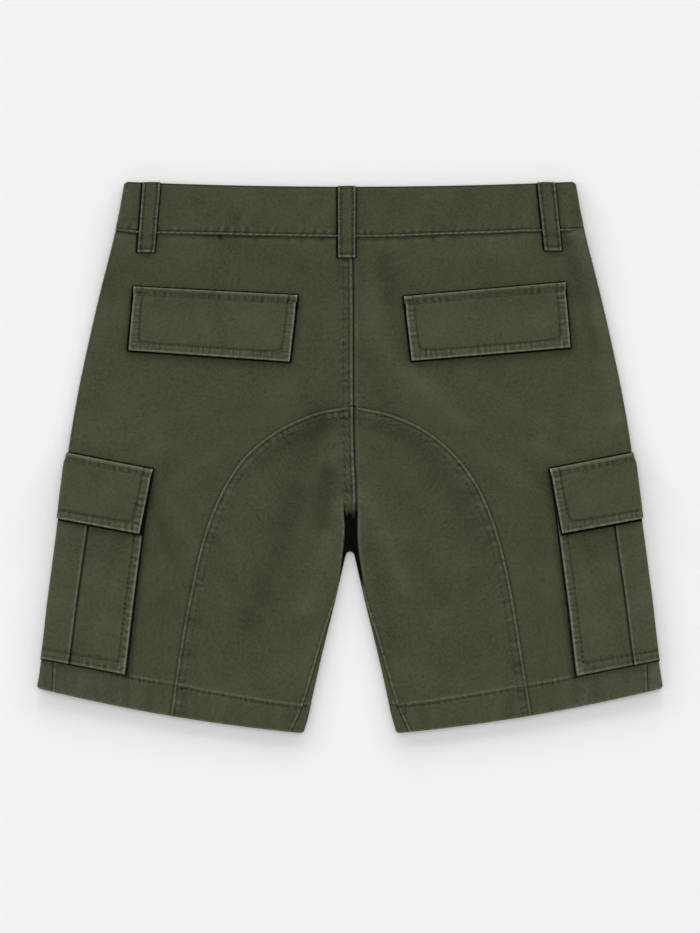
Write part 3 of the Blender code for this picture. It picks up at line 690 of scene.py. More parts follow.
def shell(name, points, wall, finish, material, flip=False, roll=SHELL_ROLL):
    """A closed thin shell of cloth with rounded edges.

    points holds rows and columns of its outer surface, wall is its thickness.
    """
    rows, columns = points.shape[:2]
    outer = to_world(points) / MM
    normal = np.cross(np.gradient(outer, axis=0), np.gradient(outer, axis=1))
    normal /= np.linalg.norm(normal, axis=-1, keepdims=True) * (-1.0 if flip else 1.0)
    outer = outer + normal * finish.rise[..., None]
    outer[..., 2] = np.maximum(outer[..., 2], 0.0)      # pressed flat by the floor
    down, over_ = lengths_along(outer, 0), lengths_along(outer, 1)
    width = rounded(down, roll) * rounded(down[-1:] - down, roll)
    width = width * rounded(over_, roll) * rounded(over_[:, -1:] - over_, roll)
    half = (np.zeros((rows, columns)) + wall)[..., None] / 2.0
    middle = outer - normal * half
    top = middle + normal * half * width[..., None]
    bottom = middle - normal * half * width[..., None]

    upper = np.arange(rows * columns).reshape(rows, columns)
    lower = upper.copy()
    inside = (rows - 2) * (columns - 2)
    lower[1:-1, 1:-1] = rows * columns + np.arange(inside).reshape(rows - 2, -1)

    def quads(index):
        corners = (index[:-1, :-1], index[1:, :-1], index[1:, 1:], index[:-1, 1:])
        return np.stack(corners, -1).reshape(-1, 4)

    faces = np.concatenate([quads(upper), quads(lower)[:, ::-1]])
    everything = np.concatenate([top.reshape(-1, 3), bottom[1:-1, 1:-1].reshape(-1, 3)])
    faces = faces[:, ::-1] if flip else faces
    item = add_mesh(name, (everything * MM).tolist(), faces.tolist(), material)

    def both(values):
        values = np.zeros((rows, columns)) + values
        return np.concatenate([values.ravel(), values[1:-1, 1:-1].ravel()])

    plain = np.concatenate([np.ones(rows * columns), np.zeros(inside)])
    # Paler colour of wear and painted highlight, painted shade, and the distance that sets the
    # painted shadow outline.
    for label, values in (
        ("wear_and_highlight", np.clip(both(finish.wear_and_highlight) * plain, 0.0, 1.0)),
        ("deep", np.clip(both(finish.deep) * plain, 0.0, 1.4)),
        ("beyond", both(finish.beyond)),
    ):
        attribute = item.data.attributes.new(label, "FLOAT", "POINT")
        attribute.data.foreach_set("value", values.astype(np.float32))
    grain = np.stack([both(over_ - over_[:, columns // 2, None]), both(down)], -1) * MM
    corner = np.empty(len(item.data.loops), np.int32)
    item.data.loops.foreach_get("vertex_index", corner)
    layer = item.data.uv_layers.new(name="grain")
    layer.data.foreach_set("uv", grain[corner].astype(np.float32).ravel())
    return item


def between(outer, inner, near_outer, near_inner, step):
    """Fills each row between two rails, with set distances from each of them."""
    start, end = outer[:, -1], inner[:, 0]
    length = np.hypot(*(end - start)[:, :2].T)[:, None]
    room = near_outer[-1] + near_inner[-1]
    squeeze = np.minimum(1.0, 0.85 * length / room)
    first = squeeze * near_outer[None, 1:]
    last = length - squeeze * near_inner[None, :0:-1]
    shares = spaced(0.0, 1.0, step / max(float(length.max()) - room, step))[1:-1]
    middle = mix(first[:, -1:], last[:, :1], shares[None])
    share = (np.concatenate([first, middle, last], 1) / length)[..., None]
    filled = mix(start[:, None], end[:, None], share)
    return np.concatenate([outer, filled, inner], 1)


def on_edges(plan, shares, top=None):
    """Moves the first and last rows of a panel on to the garment's edges."""
    drop, share = plan[..., 1], shares[:, None]
    if top is not None:
        drop = drop + (1.0 - share) ** 3 * (top(plan[0, :, 0]) - plan[0, :, 1])
    drop = drop + share**4 * (hem_edge(plan[-1, :, 0]) - plan[-1, :, 1])
    return joined(plan[..., 0], drop, plan[..., 2])


def panel_rows(step):
    """Shares of the way down, close together at the hem's sewing and its fold."""
    above, below = HEM_LINE - HEM_CLOSE, HEM_LINE + HEM_CLOSE
    body = spaced(SIDE_START, above, step)
    sewing = spaced(above, below, HEM_STEP)
    turned = spaced(below, SIDE_HEM - 2.0, step)
    fold = SIDE_HEM - np.array([1.4, 0.9, 0.5, 0.25, 0.1, 0.0])
    return share_down(np.concatenate([body[:-1], sewing[:-1], turned, fold]))


EDGE_STEPS = np.array([0.0, 0.08, 0.22, 0.45, 0.8])


def near_crotch(shares):
    """The same shares with more of them where the legs part."""
    parting = CROTCH + np.array([0.75, 0.85, 1.0, 1.2, 1.4, 1.8, 2.2, 2.8, 3.5, 4.5, 5.5])
    return np.unique(np.concatenate([shares, centre_share(parting)]))


def from_edge(reach, step):
    """Distances in from an edge, close together where it is rounded."""
    return np.concatenate([EDGE_STEPS, spaced(EDGE_STEPS[-1], reach, step)[1:]])


# ------------------------------------------------------------- body panels

def in_steps(start, end, step):
    """Each row filled from its start to its end, without the start itself."""
    return mix(start, end, spaced(0.0, 1.0, step)[None, 1:])


def reaches_from(seam, gap, back):
    """Reaches round a fold, from beside a seam on to the flat of the back or front."""
    if back:
        reach = seam + gap + EDGE_STEPS
        end = np.maximum(FOLD_ARC, seam + gap + 2.0)
        return np.concatenate([reach, in_steps(reach[:, -1:], end, 0.125)], 1)
    reach = seam - gap - EDGE_STEPS
    bend = np.minimum(FOLD_ARC, reach[:, -1:] - 0.1)
    flat = in_steps(reach[:, -1:], bend, 0.25)
    return np.concatenate([reach, flat, in_steps(bend, -FOLD_ARC, 0.1)], 1)


def side_rail(shares, back):
    at = mix(SIDE_START, SIDE_HEM, shares)[:, None]
    return round_side(at, reaches_from(smooth(SIDE_SEAM, at), SEAM_GAP / 2.0, back))


def leg_rail(shares, back, side):
    """Down the centre seam and on round the inner leg, from the cloth to the seam."""
    at = rail_drop(CENTRE_START, LENGTH, shares)[:, None]
    gap = SEAM_GAP / 2.0 * ease((at - CROTCH) / CROTCH_BLEND + 1.0)
    reach = reaches_from(smooth(INNER_SEAM, at), gap, back)[:, ::-1]
    rail = round_inner(at, reach, 1 if back else -1)
    if back:
        tuck = TUCK * (side > 0) * fade((at - CROTCH) / 5.0 + 0.9)
        rail[..., 0] += side * centre_seam(at) - tuck
    return rail


def hem_sewing(across):
    return smooth(HEM_SEWING, across)


def hem_finish(finish, across, drop, seed):
    """The turned-up hem: its sewing, its fold and the small tucks between, with painted shade in
    the groove and tucks and painted highlight along the fold.
    """
    up = hem_edge(across) - drop
    above = up - hem_sewing(across)
    finish.rise += 0.25 * fade((above - HEM_EDGE + 0.7) / 1.6)
    finish.groove(above, 0.8, 0.32, 0.34)
    finish.ridge(above - 2.4, 0.9, 0.1, 0.22)
    finish.pucker(across, above, 2.6, 0.13, 4.9, seed, 0.5)
    finish.pucker(across, up - 3.0, 4.0, 0.1, 9.0, seed + 1, 0.1)
    finish.pucker(across, up - 12.0, 12.0, 0.2, 17.0, seed + 2, 0.12)
    finish.ridge(up - 0.7, 0.9, 0.0, 0.3)
    finish.groove(up - 2.6, 0.8, 0.0, 0.12)


def inside_out(corners, across, drop):
    """Distance beyond a four-cornered outline, below 0 inside it."""
    closed = list(corners) + [corners[0]]
    away, _ = seam_place(closed, across, drop)
    turns = [
        (x1 - x0) * (drop - y0) - (y1 - y0) * (across - x0)
        for (x0, y0), (x1, y1) in zip(closed, closed[1:])
    ]
    inside = (np.min(turns, axis=0) > 0.0) | (np.max(turns, axis=0) < 0.0)
    return np.where(inside, -1.0, 1.0) * np.abs(away)


def loop_sides():
    """How far the painted shadow outline of a belt loop is from its middle."""
    half = LOOP_WIDTH / 2.0 - LOOP_TRIM
    return half - LOOP_OUTLINE[0], half - LOOP_OUTLINE[1]


def loop_corners(ends, drops):
    left, right = loop_sides()
    low = drops[1] - LOOP_OUTLINE[2]
    return ((ends[0] - left, drops[0]), (ends[1] - left, low),
            (ends[1] + right, low), (ends[0] + right, drops[0]))


def cargo_corners(side, top, low):
    """Corners of a pocket or flap on the back, from (drop, half, slant) of its ends."""
    corners = []
    for drop, reach, slant in ((top[0], FOLD_ARC, top[2]), top, low, (low[0], FOLD_ARC, low[2])):
        place = round_side(np.array(drop + slant * reach), np.array(reach))
        corners.append((side * float(place[0]), float(place[1])))
    return corners


def lying_on_back(hand, side):
    """Outlines of the pieces that lie on a back panel."""
    flap = []
    for corner, (across, drop) in BACK_FLAPS[hand].items():
        across -= SOFT_RIGHT * (side > 0 and corner.endswith("outer"))
        flap.append((side * across, drop + SOFT_TOP * corner.startswith("top")))
    top_half, low_half = CARGO_FLAP_HALF[side]
    cargo_flap = cargo_corners(
        side,
        (CARGO_FLAP_TOP + SOFT_TOP, top_half, FLAP_SLANT),
        (CARGO_FLAP_BOTTOM, low_half, FLAP_SLANT),
    )
    loops = [loop_corners(ends, drops) for _, layer, ends, drops in BELT_LOOPS if layer > 0]
    shaded = [(flap, PIECE_SHADE), (cargo_flap, PIECE_SHADE)]
    return shaded + [(loop, LOOP_SHADE) for loop in loops]


def lapped_seams(finish, part, side, across, drop):
    """The centre back and arched seams, on the piece above and on the one below."""
    beside = across - centre_seam(drop)
    above = fade((drop - SLIT_START) / SLIT_RUN_IN)
    if side < 0:
        finish.lap(-beside, drop, CENTRE_ROWS, 3, above)
    else:
        # Painted shadow beside the lapped edge and a painted highlight on the ridge beyond it.
        finish.shadow(beside, 1.5, 0.95 * above)
        finish.ridge(beside - 3.2, 1.4, 0.05 * above, 0.12 * above)
    seam = along(arch_line(side), np.linspace(0, 1, 70))
    away, run = seam_place(list(zip(*seam)), side * across, drop)
    if part == "inner":
        share = 1.0 if side < 0 else ease((beside - 1.0) / 6.0)
        finish.lap(-away, run, ARCH_ROWS, 11 + side, share, ARCH_SECOND_MARKED, ARCH_SLOPE)
    else:
        # Painted shadow outside the arched seam.
        finish.shadow(away, 1.3, 0.45)


def side_seams(finish, part, side, points):
    """The felled seam on the side fold or inside the leg."""
    drop = points[..., 1]
    if part == "side":
        finish.felled(lengths_along(points, 1), drop, 91 + side)
    else:
        leg = ease((drop - CROTCH - 14.0) / 20.0)
        finish.felled(lengths_along(points[:, ::-1], 1)[:, ::-1], drop, 95 + side, leg)


def below_band(finish, side, across, below):
    # Painted shadow under the band's lower edge, then a painted highlight on the cloth below it.
    finish.shadow(below, 0.9, 0.7)
    finish.ridge(below - 3.6, 3.0, 0.0, 0.12)
    finish.pucker(across, below - 3.0, 4.0, 0.14, 15.0, 31 + side, 0.12)


def around_pieces(finish, hand, side, across, drop):
    """Painted shadow outlines and painted soft shade around what lies on a back panel, and painted
    light below the cargo pocket.
    """
    for outline, shade in lying_on_back(hand, side):
        over_top = drop < np.interp(across, *np.array(sorted(outline[:2])).T)
        shade = shade * np.where(over_top, SHADE_OVER_TOP, 1.0)
        finish.lies_under(inside_out(outline, across, drop), shade)
    low = POCKET_BOTTOM + POCKET_HANG[side]
    edge = POCKET_HALF + POCKET_DRAWN[side][-1][1]
    gusset = cargo_corners(
        side, (POCKET_TOP, edge + GUSSET_TOP, FLAP_SLANT), (low, edge + GUSSET_BOTTOM, POCKET_SLANT)
    )
    finish.lies_under(inside_out(gusset, across, drop) + SOFT_EDGE, PIECE_SHADE)
    # Painted light on the strip below the cargo pocket, which the lamps leave in shadow.
    at, inward = fold_place(across, drop)
    below = ease((at - POCKET_BOTTOM - POCKET_HANG[side]) / 3.0)
    finish.wear_and_highlight += 0.08 * (below * ease((POCKET_HALF + 34.0 - inward) / 34.0))


def creased(finish, across, drop, below):
    """Painted shade in troughs, painted highlight on ridges, darker ticks below the band and
    painted shade in the deep fold at the crotch.
    """
    fold = crease(across, drop)
    finish.deep += CREASE_SHADE * np.maximum(fold, 0.0)
    finish.wear_and_highlight += CREASE_HIGHLIGHT * np.maximum(-fold, 0.0)
    for place, strength in BAND_TICKS:
        finish.deep += strength * bump(across - place, 1.6) * bump(below - 1.5, 3.4)
    # The deep fold is painted near black as its shade, with a painted highlight along its edges.
    inside, length = slit_place(across, drop)
    finish.deep += 1.6 * length * ease(inside / 1.6 + 0.5)
    finish.ridge(inside + 1.3, 0.9, 0.0, 0.3 * length)


def back_finish(part, hand, side, points):
    across, drop = points[..., 0], points[..., 1]
    below = drop - band_edge(across)
    finish = Finish(across.shape)
    lapped_seams(finish, part, side, across, drop)
    hem_finish(finish, across, drop, 21 + side)
    side_seams(finish, part, side, points)
    below_band(finish, side, across, below)
    around_pieces(finish, hand, side, across, drop)
    creased(finish, across, drop, below)
    return finish


def hem_wall(points):
    across, drop = points[..., 0], points[..., 1]
    above = hem_edge(across) - drop - hem_sewing(across)
    return mix(CLOTH, HEM_CLOTH, fade((above - HEM_EDGE) / 3.0 + 0.5))


def raised(plan, side):
    """Points of a panel at their height, on the side they belong to."""
    across, drop, turn = side * plan[..., 0], plan[..., 1], plan[..., 2]
    return joined(across, drop, at_turn(over(across, drop), under(across, drop), turn))


def make_back_side(hand, side, material):
    shares = np.unique(np.append(panel_rows(BACK_STEP), ARCH_SHARE))
    outer = side_rail(shares, True)
    tuck = TUCK * (side > 0)
    drop = rail_drop(CENTRE_START, LENGTH, shares)
    centre = joined(side * centre_seam(drop) - tuck, drop, 1.0)
    arch = on_arch(side, np.maximum(shares, ARCH_SHARE), -TUCK)
    inner = np.where((shares <= ARCH_SHARE)[:, None], centre, arch)[:, None]
    near_inner = from_edge(16.0, 0.8)
    plan = between(outer, inner, from_edge(30.0, 2.0), near_inner, 2.6)
    plan = on_edges(plan, shares, lambda across: band_edge(across) - TUCK / 2.0)
    points = raised(plan, side)
    finish = back_finish("side", hand, side, points)
    return shell(f"back_side_{hand}_cloth", points, hem_wall(points), finish, material,
                 flip=side > 0)


def make_back_inner(hand, side, material):
    rows = near_crotch(panel_rows(BACK_STEP))
    shares = np.concatenate([[ARCH_SHARE + 0.0012], rows[rows > ARCH_SHARE + 0.002]])
    outer = on_arch(side, shares, 0.0)[:, None]
    inner = leg_rail(shares, True, side)
    plan = between(outer, inner, from_edge(14.0, 0.7), np.linspace(0.0, 10.0, 12), 2.4)
    points = raised(on_edges(plan, shares), side)
    finish = back_finish("inner", hand, side, points)
    return shell(f"back_inner_{hand}_cloth", points, hem_wall(points), finish, material,
                 flip=side > 0)


def front_finish(finish, side, points):
    across, drop = points[..., 0], points[..., 1]
    hem_finish(finish, across, drop, 41 + side)
    # Painted shade along the side edge.
    finish.groove(lengths_along(points, 1), 0.6, 0.1, 0.1)
    at, inward = fold_place(across, drop)
    below = at - (POCKET_BOTTOM + POCKET_HANG[side] - POCKET_SLANT * inward)
    above = (CARGO_FLAP_TOP - FLAP_SLANT * inward) - at
    beside = inward - CARGO_FLAP_HALF[side][0]
    # Painted soft shade around the cargo pocket and its flap.
    finish.lies_under(np.maximum(np.maximum(below, above), beside), 0.5 * PIECE_SHADE)
    # Painted light on the turned-up hem below the pocket, paler on the right.
    turned_up = ease((at - POCKET_BOTTOM) / 3.0) * bump(inward, 15.0)
    finish.wear_and_highlight += (0.22 + 0.06 * side) * turned_up
    # Painted shade in the troughs.
    finish.deep += CREASE_SHADE * crease(across, drop, FRONT_CREASES)
    if side < 0:
        # Painted shade in the fly's sewing grooves and puckers.
        beside = -across - FLY_EDGE_SEWING
        finish.groove(beside, 0.8, 0.2, 0.4)
        finish.pucker(drop, beside, 3.0, 0.12, 5.5, 45, 0.3)
        away, run = seam_place(FLY_SEWING, across, drop)
        finish.groove(away, 0.8, 0.2, 0.4)
        finish.pucker(run, away, 3.0, 0.12, 5.5, 47, 0.3)


def make_front(hand, side, material):
    shares = near_crotch(panel_rows(FRONT_STEP))
    outer = side_rail(shares, False)
    inner = leg_rail(shares, False, side)
    if side > 0:
        at = rail_drop(CENTRE_START, LENGTH, shares)
        lap = (FLY_LAP + SEAM_GAP / 2.0) * fade((at - FLY_END) / LIFT_RAMP)
        inner[..., 0] -= lap[:, None]
    plan = between(outer, inner, from_edge(20.0, 3.0), from_edge(12.0, 2.0), 5.0)
    plan = on_edges(plan, shares, lambda across: band_edge(across) + SEAM_GAP)
    points = raised(plan, side)
    finish = Finish(points.shape[:2])
    if side > 0:
        rise = fade((points[..., 1] - FLY_END - LAP_BELOW) / LAP_FADE)
        rise = rise * fade((points[..., 0] - LAP_REACH) / LAP_SLOPE)
        points[..., 2] += LAP_RISE * rise
    front_finish(finish, side, points)
    return shell(f"front_{hand}_cloth", points, hem_wall(points), finish, material,
                 flip=side < 0)


# ------------------------------------------------------ waistband and loops

BAND_FLAT = 200.0           # the band lies flat to here, and turns beyond it


def band_places():
    """(across, turn, outwards) round the band from its upper end to its lapped one."""
    quarter = np.linspace(-math.pi / 2.0, math.pi / 2.0, 19)
    front = spaced(BAND_END_LEFT - EDGE_STEPS[-1], -BAND_FLAT, 3.0)
    path = [(x, -1.0, 0.0) for x in BAND_END_LEFT - EDGE_STEPS[:-1]]
    path += [(x, -1.0, 0.0) for x in front]
    path += [(-BAND_FLAT - 1.0, math.sin(q), math.cos(q)) for q in quarter]
    path += [(x, 1.0, 0.0) for x in spaced(-BAND_FLAT, BAND_FLAT, 1.7)]
    path += [(BAND_FLAT + 1.0, math.sin(q), math.cos(q)) for q in quarter[::-1]]
    path += [(x, -1.0, 0.0) for x in spaced(BAND_FLAT, BAND_END_RIGHT + EDGE_STEPS[-1], 3.0)]
    path += [(x, -1.0, 0.0) for x in BAND_END_RIGHT + EDGE_STEPS[-2::-1]]
    return np.array(path)


def band_rows():
    """Shares of the way down the band, close together at its edges and its sewing."""
    sewing = [0.0, 0.06, 0.2, 0.45, 0.8, 1.3, 1.9, 2.5, 3.0, 3.5, 4.0, 4.6, 5.4]
    up = np.concatenate([sewing, spaced(6.4, 40.0, 1.6)])
    from_top = np.array([3.6, 2.4, 1.6, 1.0, 0.6, 0.3, 0.1, 0.0])
    share = 1.0 - np.concatenate([up / BAND_SIDE, 1.0 - from_top / BAND_SIDE])
    return np.sort(share)[:, None]


def band_points(path):
    place, turn, out = (column[None] for column in path.T)
    share = band_rows()
    across = np.zeros((len(share), len(path))) + place
    inwards = ease((np.abs(place) - 150.0) / 50.0)
    for _ in range(2):
        drop = mix(waist_edge(across), band_edge(across), share)
        flank = side_fold(drop) - BAND_FOLD_RADIUS
        folded = np.sign(place) * (flank + BAND_FOLD_RADIUS * out)
        flat = place * mix(1.0, flank / BAND_FLAT, inwards)
        across = np.where(np.abs(place) > BAND_FLAT, folded, flat)
    lapped = np.arange(len(path)) > len(path) - 40
    rise = BAND_LAP_RISE * fade((across - BAND_LAP_START) / BAND_LAP_SLOPE)
    height = at_turn(BAND_TOP, WAIST_LIFT, turn) + np.where(lapped[None], rise, 0.0)
    return joined(across, drop, height)


def beside_loop(across, drop, ends, drops):
    """Distance beyond the painted shadow outline at a belt loop's sides."""
    centre = loop_line(ends, drops, drop)
    left, right = loop_sides()
    return np.where(across < centre, centre - left - across, across - centre - right)


def make_waistband(material):
    path = band_places()
    points = band_points(path)
    across, drop = points[..., 0], points[..., 1]
    turn = path.T[1][None]
    finish = Finish(across.shape)
    run = lengths_along(points, 1)
    above = band_edge(across) - drop
    # Painted highlight on the pressed ridge and painted shade in the sewing's groove and puckers.
    finish.ridge(above - BAND_RIDGE, 0.8, 0.16, 0.05)
    finish.groove(above - BAND_GROOVE, 0.6, 0.4, 0.55)
    finish.pucker(run, above - BAND_GROOVE - 2.0, 3.0, 0.12, 6.2, 51, 0.4)
    finish.pucker(run, above - 14.0, 9.0, 0.22, 24.0, 52, 0.1)
    finish.pucker(run, above - 30.0, 11.0, 0.14, 40.0, 53, 0.06)
    # Painted shade over the whole band, and a painted dark line with a painted highlight inside its
    # top edge.
    finish.deep += 0.035
    finish.groove(drop - waist_edge(across) - 1.0, 0.7, 0.0, 0.5)
    finish.ridge(drop - waist_edge(across) - 2.4, 0.9, 0.0, 0.08)
    # Painted shadow outline and painted soft shade round the loops lying on it.
    for _, layer, ends, drops in BELT_LOOPS:
        beside = beside_loop(across, drop, ends, drops)
        finish.lies_under(np.where(turn * layer > 0.9, beside, FAR_OFF), LOOP_SHADE)
    wall = mix(0.95, BAND_CLOTH, ease((above - 2.5) / 3.0))
    roll = 0.4 * BAND_CLOTH
    return shell("waistband_cloth", points, wall, finish, material, roll=roll)


def loop_line(across, drops, drop):
    """Where the middle of a belt loop is at a drop."""
    return mix(across[0], across[1], (drop - drops[0]) / (drops[1] - drops[0]))


def loop_top(across, drop):
    """Height of what a belt loop lies on: the band and, below it, the back."""
    return mix(BAND_TOP, over(across, drop), ease((drop - band_edge(across) + 1.0) / 8.0))


def loop_points(layer, ends, drops, part):
    """Points down a loop, with its turn over the band's top edge and down inside it."""
    top = float(waist_edge(ends[0])) + LOOP_BEND - (0.7 if layer > 0 else -0.3)
    low = drops[1] - np.array([1.4, 0.8, 0.4, 0.15, 0.0])
    drop = np.concatenate([spaced(top, drops[1] - 2.0, 1.3), low])[:, None] + 0.0 * part
    blunt = 1.0 - 0.03 * ease((drop - drops[0]) / 50.0)
    blunt = blunt - 0.09 * np.clip(1.0 - (drops[1] - drop) / 1.6, 0.0, 1.0) ** 2
    across = loop_line(ends, drops, drop) + part * blunt
    stand = SEAM_GAP + LOOP_CLOTH
    height = loop_top(across, drop) + stand if layer > 0 else LOOP_CLEAR + 0.0 * drop
    turns = np.linspace(-math.pi / 2.0, math.pi / 2.0, 15)[:-1, None]
    bend = (stand + BAND_CLOTH / 2.0) * layer
    tail = spaced(9.0, LOOP_BEND, 1.5)[:-1, None]
    crest = drop[0] - LOOP_BEND
    rows = [
        joined(across[0], crest + tail, height[0] - 2.0 * bend),
        joined(
            across[0],
            crest + LOOP_BEND * (1.0 - np.cos(turns)),
            height[0] + bend * (np.sin(turns) - 1.0),
        ),
    ]
    return np.concatenate(rows + [joined(across, drop, height)]), crest


def make_belt_loop(name, layer, ends, drops, material):
    """A folded strip over the band, tucked over its top edge."""
    half = LOOP_WIDTH / 2.0 - LOOP_TRIM
    in_from_edge = np.concatenate([EDGE_STEPS * 1.7, spaced(1.9, half, 0.75)])
    part = np.concatenate([-half + in_from_edge, (half - in_from_edge)[-2::-1]])
    points, crest = loop_points(layer, ends, drops, part)
    finish = Finish(points.shape[:2])
    down = lengths_along(points, 0)
    below = down[-1:] - down
    beside = half - np.abs(part)[None]
    shown = ease((down - 9.0) / 3.0)
    finish.rise += 0.22 * (1.0 - (part / half) ** 2)[None]
    # Painted highlight along the folded sides and lower end, painted shade in the sewing, the tack
    # and at the bend.
    finish.ridge(beside - 1.2, 1.1, 0.16, 0.42)
    finish.groove(beside - LOOP_SEWING, 0.7, 0.3, 0.7)
    for row in (TACK, TACK - 1.4):
        finish.groove(below - row, 0.7, 0.22, 0.5)
    finish.ridge(below - 1.2, 1.0, 0.1, 0.55)
    finish.groove(points[..., 1] - crest[None] - 2.2, 0.7, 0.12, 0.35)
    finish.pucker(down, beside - 1.8, 1.6, 0.07, 4.8, len(name) + layer, 0.5)
    finish.wear_and_highlight *= shown
    wall = mix(1.0, LOOP_CLOTH, shown)
    return shell(f"{name}_cloth", points, wall, finish, material, flip=layer < 0, roll=0.8)


# ------------------------------------------------------------- pocket pieces

def sewn_border(finish, down, width, edges, inset, top_inset, seed, top_wear_and_highlight):
    """Edge roll, sewing inside the free edges and the tucks between them, with wear and painted
    highlight on the edges and painted shade in the grooves and tucks.

    edges holds the distances from the left, right and lower edge.
    """
    nearest = np.minimum(np.minimum(edges[0], edges[1]), edges[2])
    cut = -CORNER_CUT * np.log(sum(np.exp(-edge / CORNER_CUT) for edge in edges))
    sewing = mix(nearest, cut, ease((20.0 - nearest) / 12.0) * 0.35)
    run = np.where(nearest == edges[2], width, down)
    finish.ridge(nearest - 0.7, 0.85, 0.08, 0.75 + 0.2 * ripple(run, 6.0, seed + 4))
    finish.groove(nearest - 2.6, 0.8, 0.08, 0.18)
    finish.groove(sewing - inset, 0.9, 0.35, 0.5)
    finish.pucker(run, nearest - inset * 0.6, inset * 0.5, 0.15, 4.8, seed, 0.5)
    finish.rise += 0.15 * ease((nearest - inset) / 14.0)
    below_top = down - top_inset
    finish.groove(below_top, 2.2, 0.4, 0.15)
    finish.groove(below_top - 1.6, 0.9, 0.1, 0.22)
    finish.pucker(width, below_top, 2.8, 0.14, 5.0, seed + 1, 0.45)
    finish.ridge(down - 1.1, 0.9, 0.08, top_wear_and_highlight)
    border = fade((nearest - inset + 1.0) / 1.5)
    finish.wear_and_highlight += 0.05 * border
    soft = ripple(width + 0.3 * down, 27.0, seed + 2)
    soft = soft + 0.7 * ripple(down - 0.4 * width, 24.0, seed + 3)
    finish.rise += 0.05 * soft
    finish.wear_and_highlight += FADED * np.clip(1.0 + 0.35 * soft, 0.0, 2.5)


def flap_lanes(length, step):
    """Even distances over a length, close together at both rounded ends."""
    start = np.concatenate([EDGE_STEPS * 1.7, spaced(1.9, 10.0, 0.9)[1:]])
    return np.concatenate([start, spaced(10.0, length - 10.0, step)[1:-1],
                           length - start[::-1]])


def pinched(down):
    """How far a flap's side edges are drawn in below its sewn top."""
    return 0.8 * ease((down - FLAP_TOP_SEWING) / 2.0) * (1.0 - 0.45 * ease((down - 11.0) / 8.0))


def back_flap_size(hand):
    inner, outer, low = (np.array(BACK_FLAPS[hand][c])
                         for c in ("top_inner", "top_outer", "bottom_inner"))
    return np.linalg.norm(outer - inner), np.linalg.norm(low - inner)


def on_back_flap(hand, side, width, down, lift=0.0):
    """Points of a back flap, by distance from its inner edge and from its top."""
    wide, tall = back_flap_size(hand)
    part, share = (width / wide)[..., None], (down / tall)[..., None]
    corners = {key: np.array(value) for key, value in BACK_FLAPS[hand].items()}
    top = mix(corners["top_inner"], corners["top_outer"], part)
    low = mix(corners["bottom_inner"], corners["bottom_outer"], part)
    across, drop = np.moveaxis(mix(top, low, share), -1, 0)
    across = side * (across + pinched(down) * (1.0 - 2.0 * part[..., 0]))
    gap = mix(BACK_FLAP_GAP_TOP, BACK_FLAP_GAP_BOTTOM, ease(share[..., 0]))
    return joined(across, drop, over(across, drop) + gap + BACK_FLAP_CLOTH + lift)


def make_back_flap(hand, side, material):
    wide, tall = back_flap_size(hand)
    width = flap_lanes(wide, 1.5)[None] + np.zeros((len(flap_lanes(tall, 1.3)), 1))
    down = flap_lanes(tall, 1.3)[:, None] + 0.0 * width
    points = on_back_flap(hand, side, width, down)
    finish = Finish(down.shape)
    edges = (width, wide - width, tall - down)
    sewn_border(finish, down, width, edges, FLAP_SEWING, FLAP_TOP_SEWING, 60 + side, 0.35)
    return shell(f"back_flap_{hand}_cloth", points, BACK_FLAP_CLOTH, finish, material,
                 flip=side < 0, roll=BACK_FLAP_CLOTH / 2.0)


CARGO_FLAP_TALL = CARGO_FLAP_BOTTOM - CARGO_FLAP_TOP


def cargo_flap_half(side, down):
    top, low = CARGO_FLAP_HALF[side]
    return mix(top, low, down / CARGO_FLAP_TALL) - 0.6 * pinched(down)


def on_cargo_flap(side, part, down, lift=0.0):
    """Points of a cargo flap, by its share from the front edge and distance down."""
    share = down / CARGO_FLAP_TALL
    reach = part * cargo_flap_half(side, down)
    at = mix(CARGO_FLAP_TOP, CARGO_FLAP_BOTTOM, share) + FLAP_SLANT * reach
    raised_share = ease(share / CARGO_FLAP_RAISED)
    sewn_down = CARGO_FLAP_CLOTH + SEAM_GAP
    proud = mix(FLAP_TOP_PROUD, CARGO_FLAP_PROUD, ease(share / 0.15)) + lift
    across, drop, turn = np.moveaxis(round_side(at, reach, proud), -1, 0)
    stand = mix(sewn_down, CARGO_FLAP_STAND, raised_share) + lift
    high, low = over(side * across, drop) + stand, -lift
    return joined(side * across, drop, at_turn(high, low, turn))


def make_cargo_flap(hand, side, material):
    down = flap_lanes(CARGO_FLAP_TALL, 1.4)[:, None]
    widest = CARGO_FLAP_HALF[side][0]
    part = flap_lanes(2.0 * widest, 1.6)[None] / widest - 1.0
    down = down + 0.0 * part
    half = cargo_flap_half(side, down)
    points = on_cargo_flap(side, part, down)
    finish = Finish(down.shape)
    edges = (half + half * part, half - half * part, CARGO_FLAP_TALL - down)
    sewn_border(finish, down, edges[0], edges, FLAP_SEWING, FLAP_TOP_SEWING, 70 + side, 0.1)
    wall = mix(FLAP_TOP_PROUD - SEAM_GAP, CARGO_FLAP_CLOTH, ease(down / CARGO_FLAP_TALL / 0.15))
    return shell(f"cargo_flap_{hand}_cloth", points, wall, finish, material,
                 flip=side > 0, roll=CARGO_FLAP_CLOTH / 2.0)


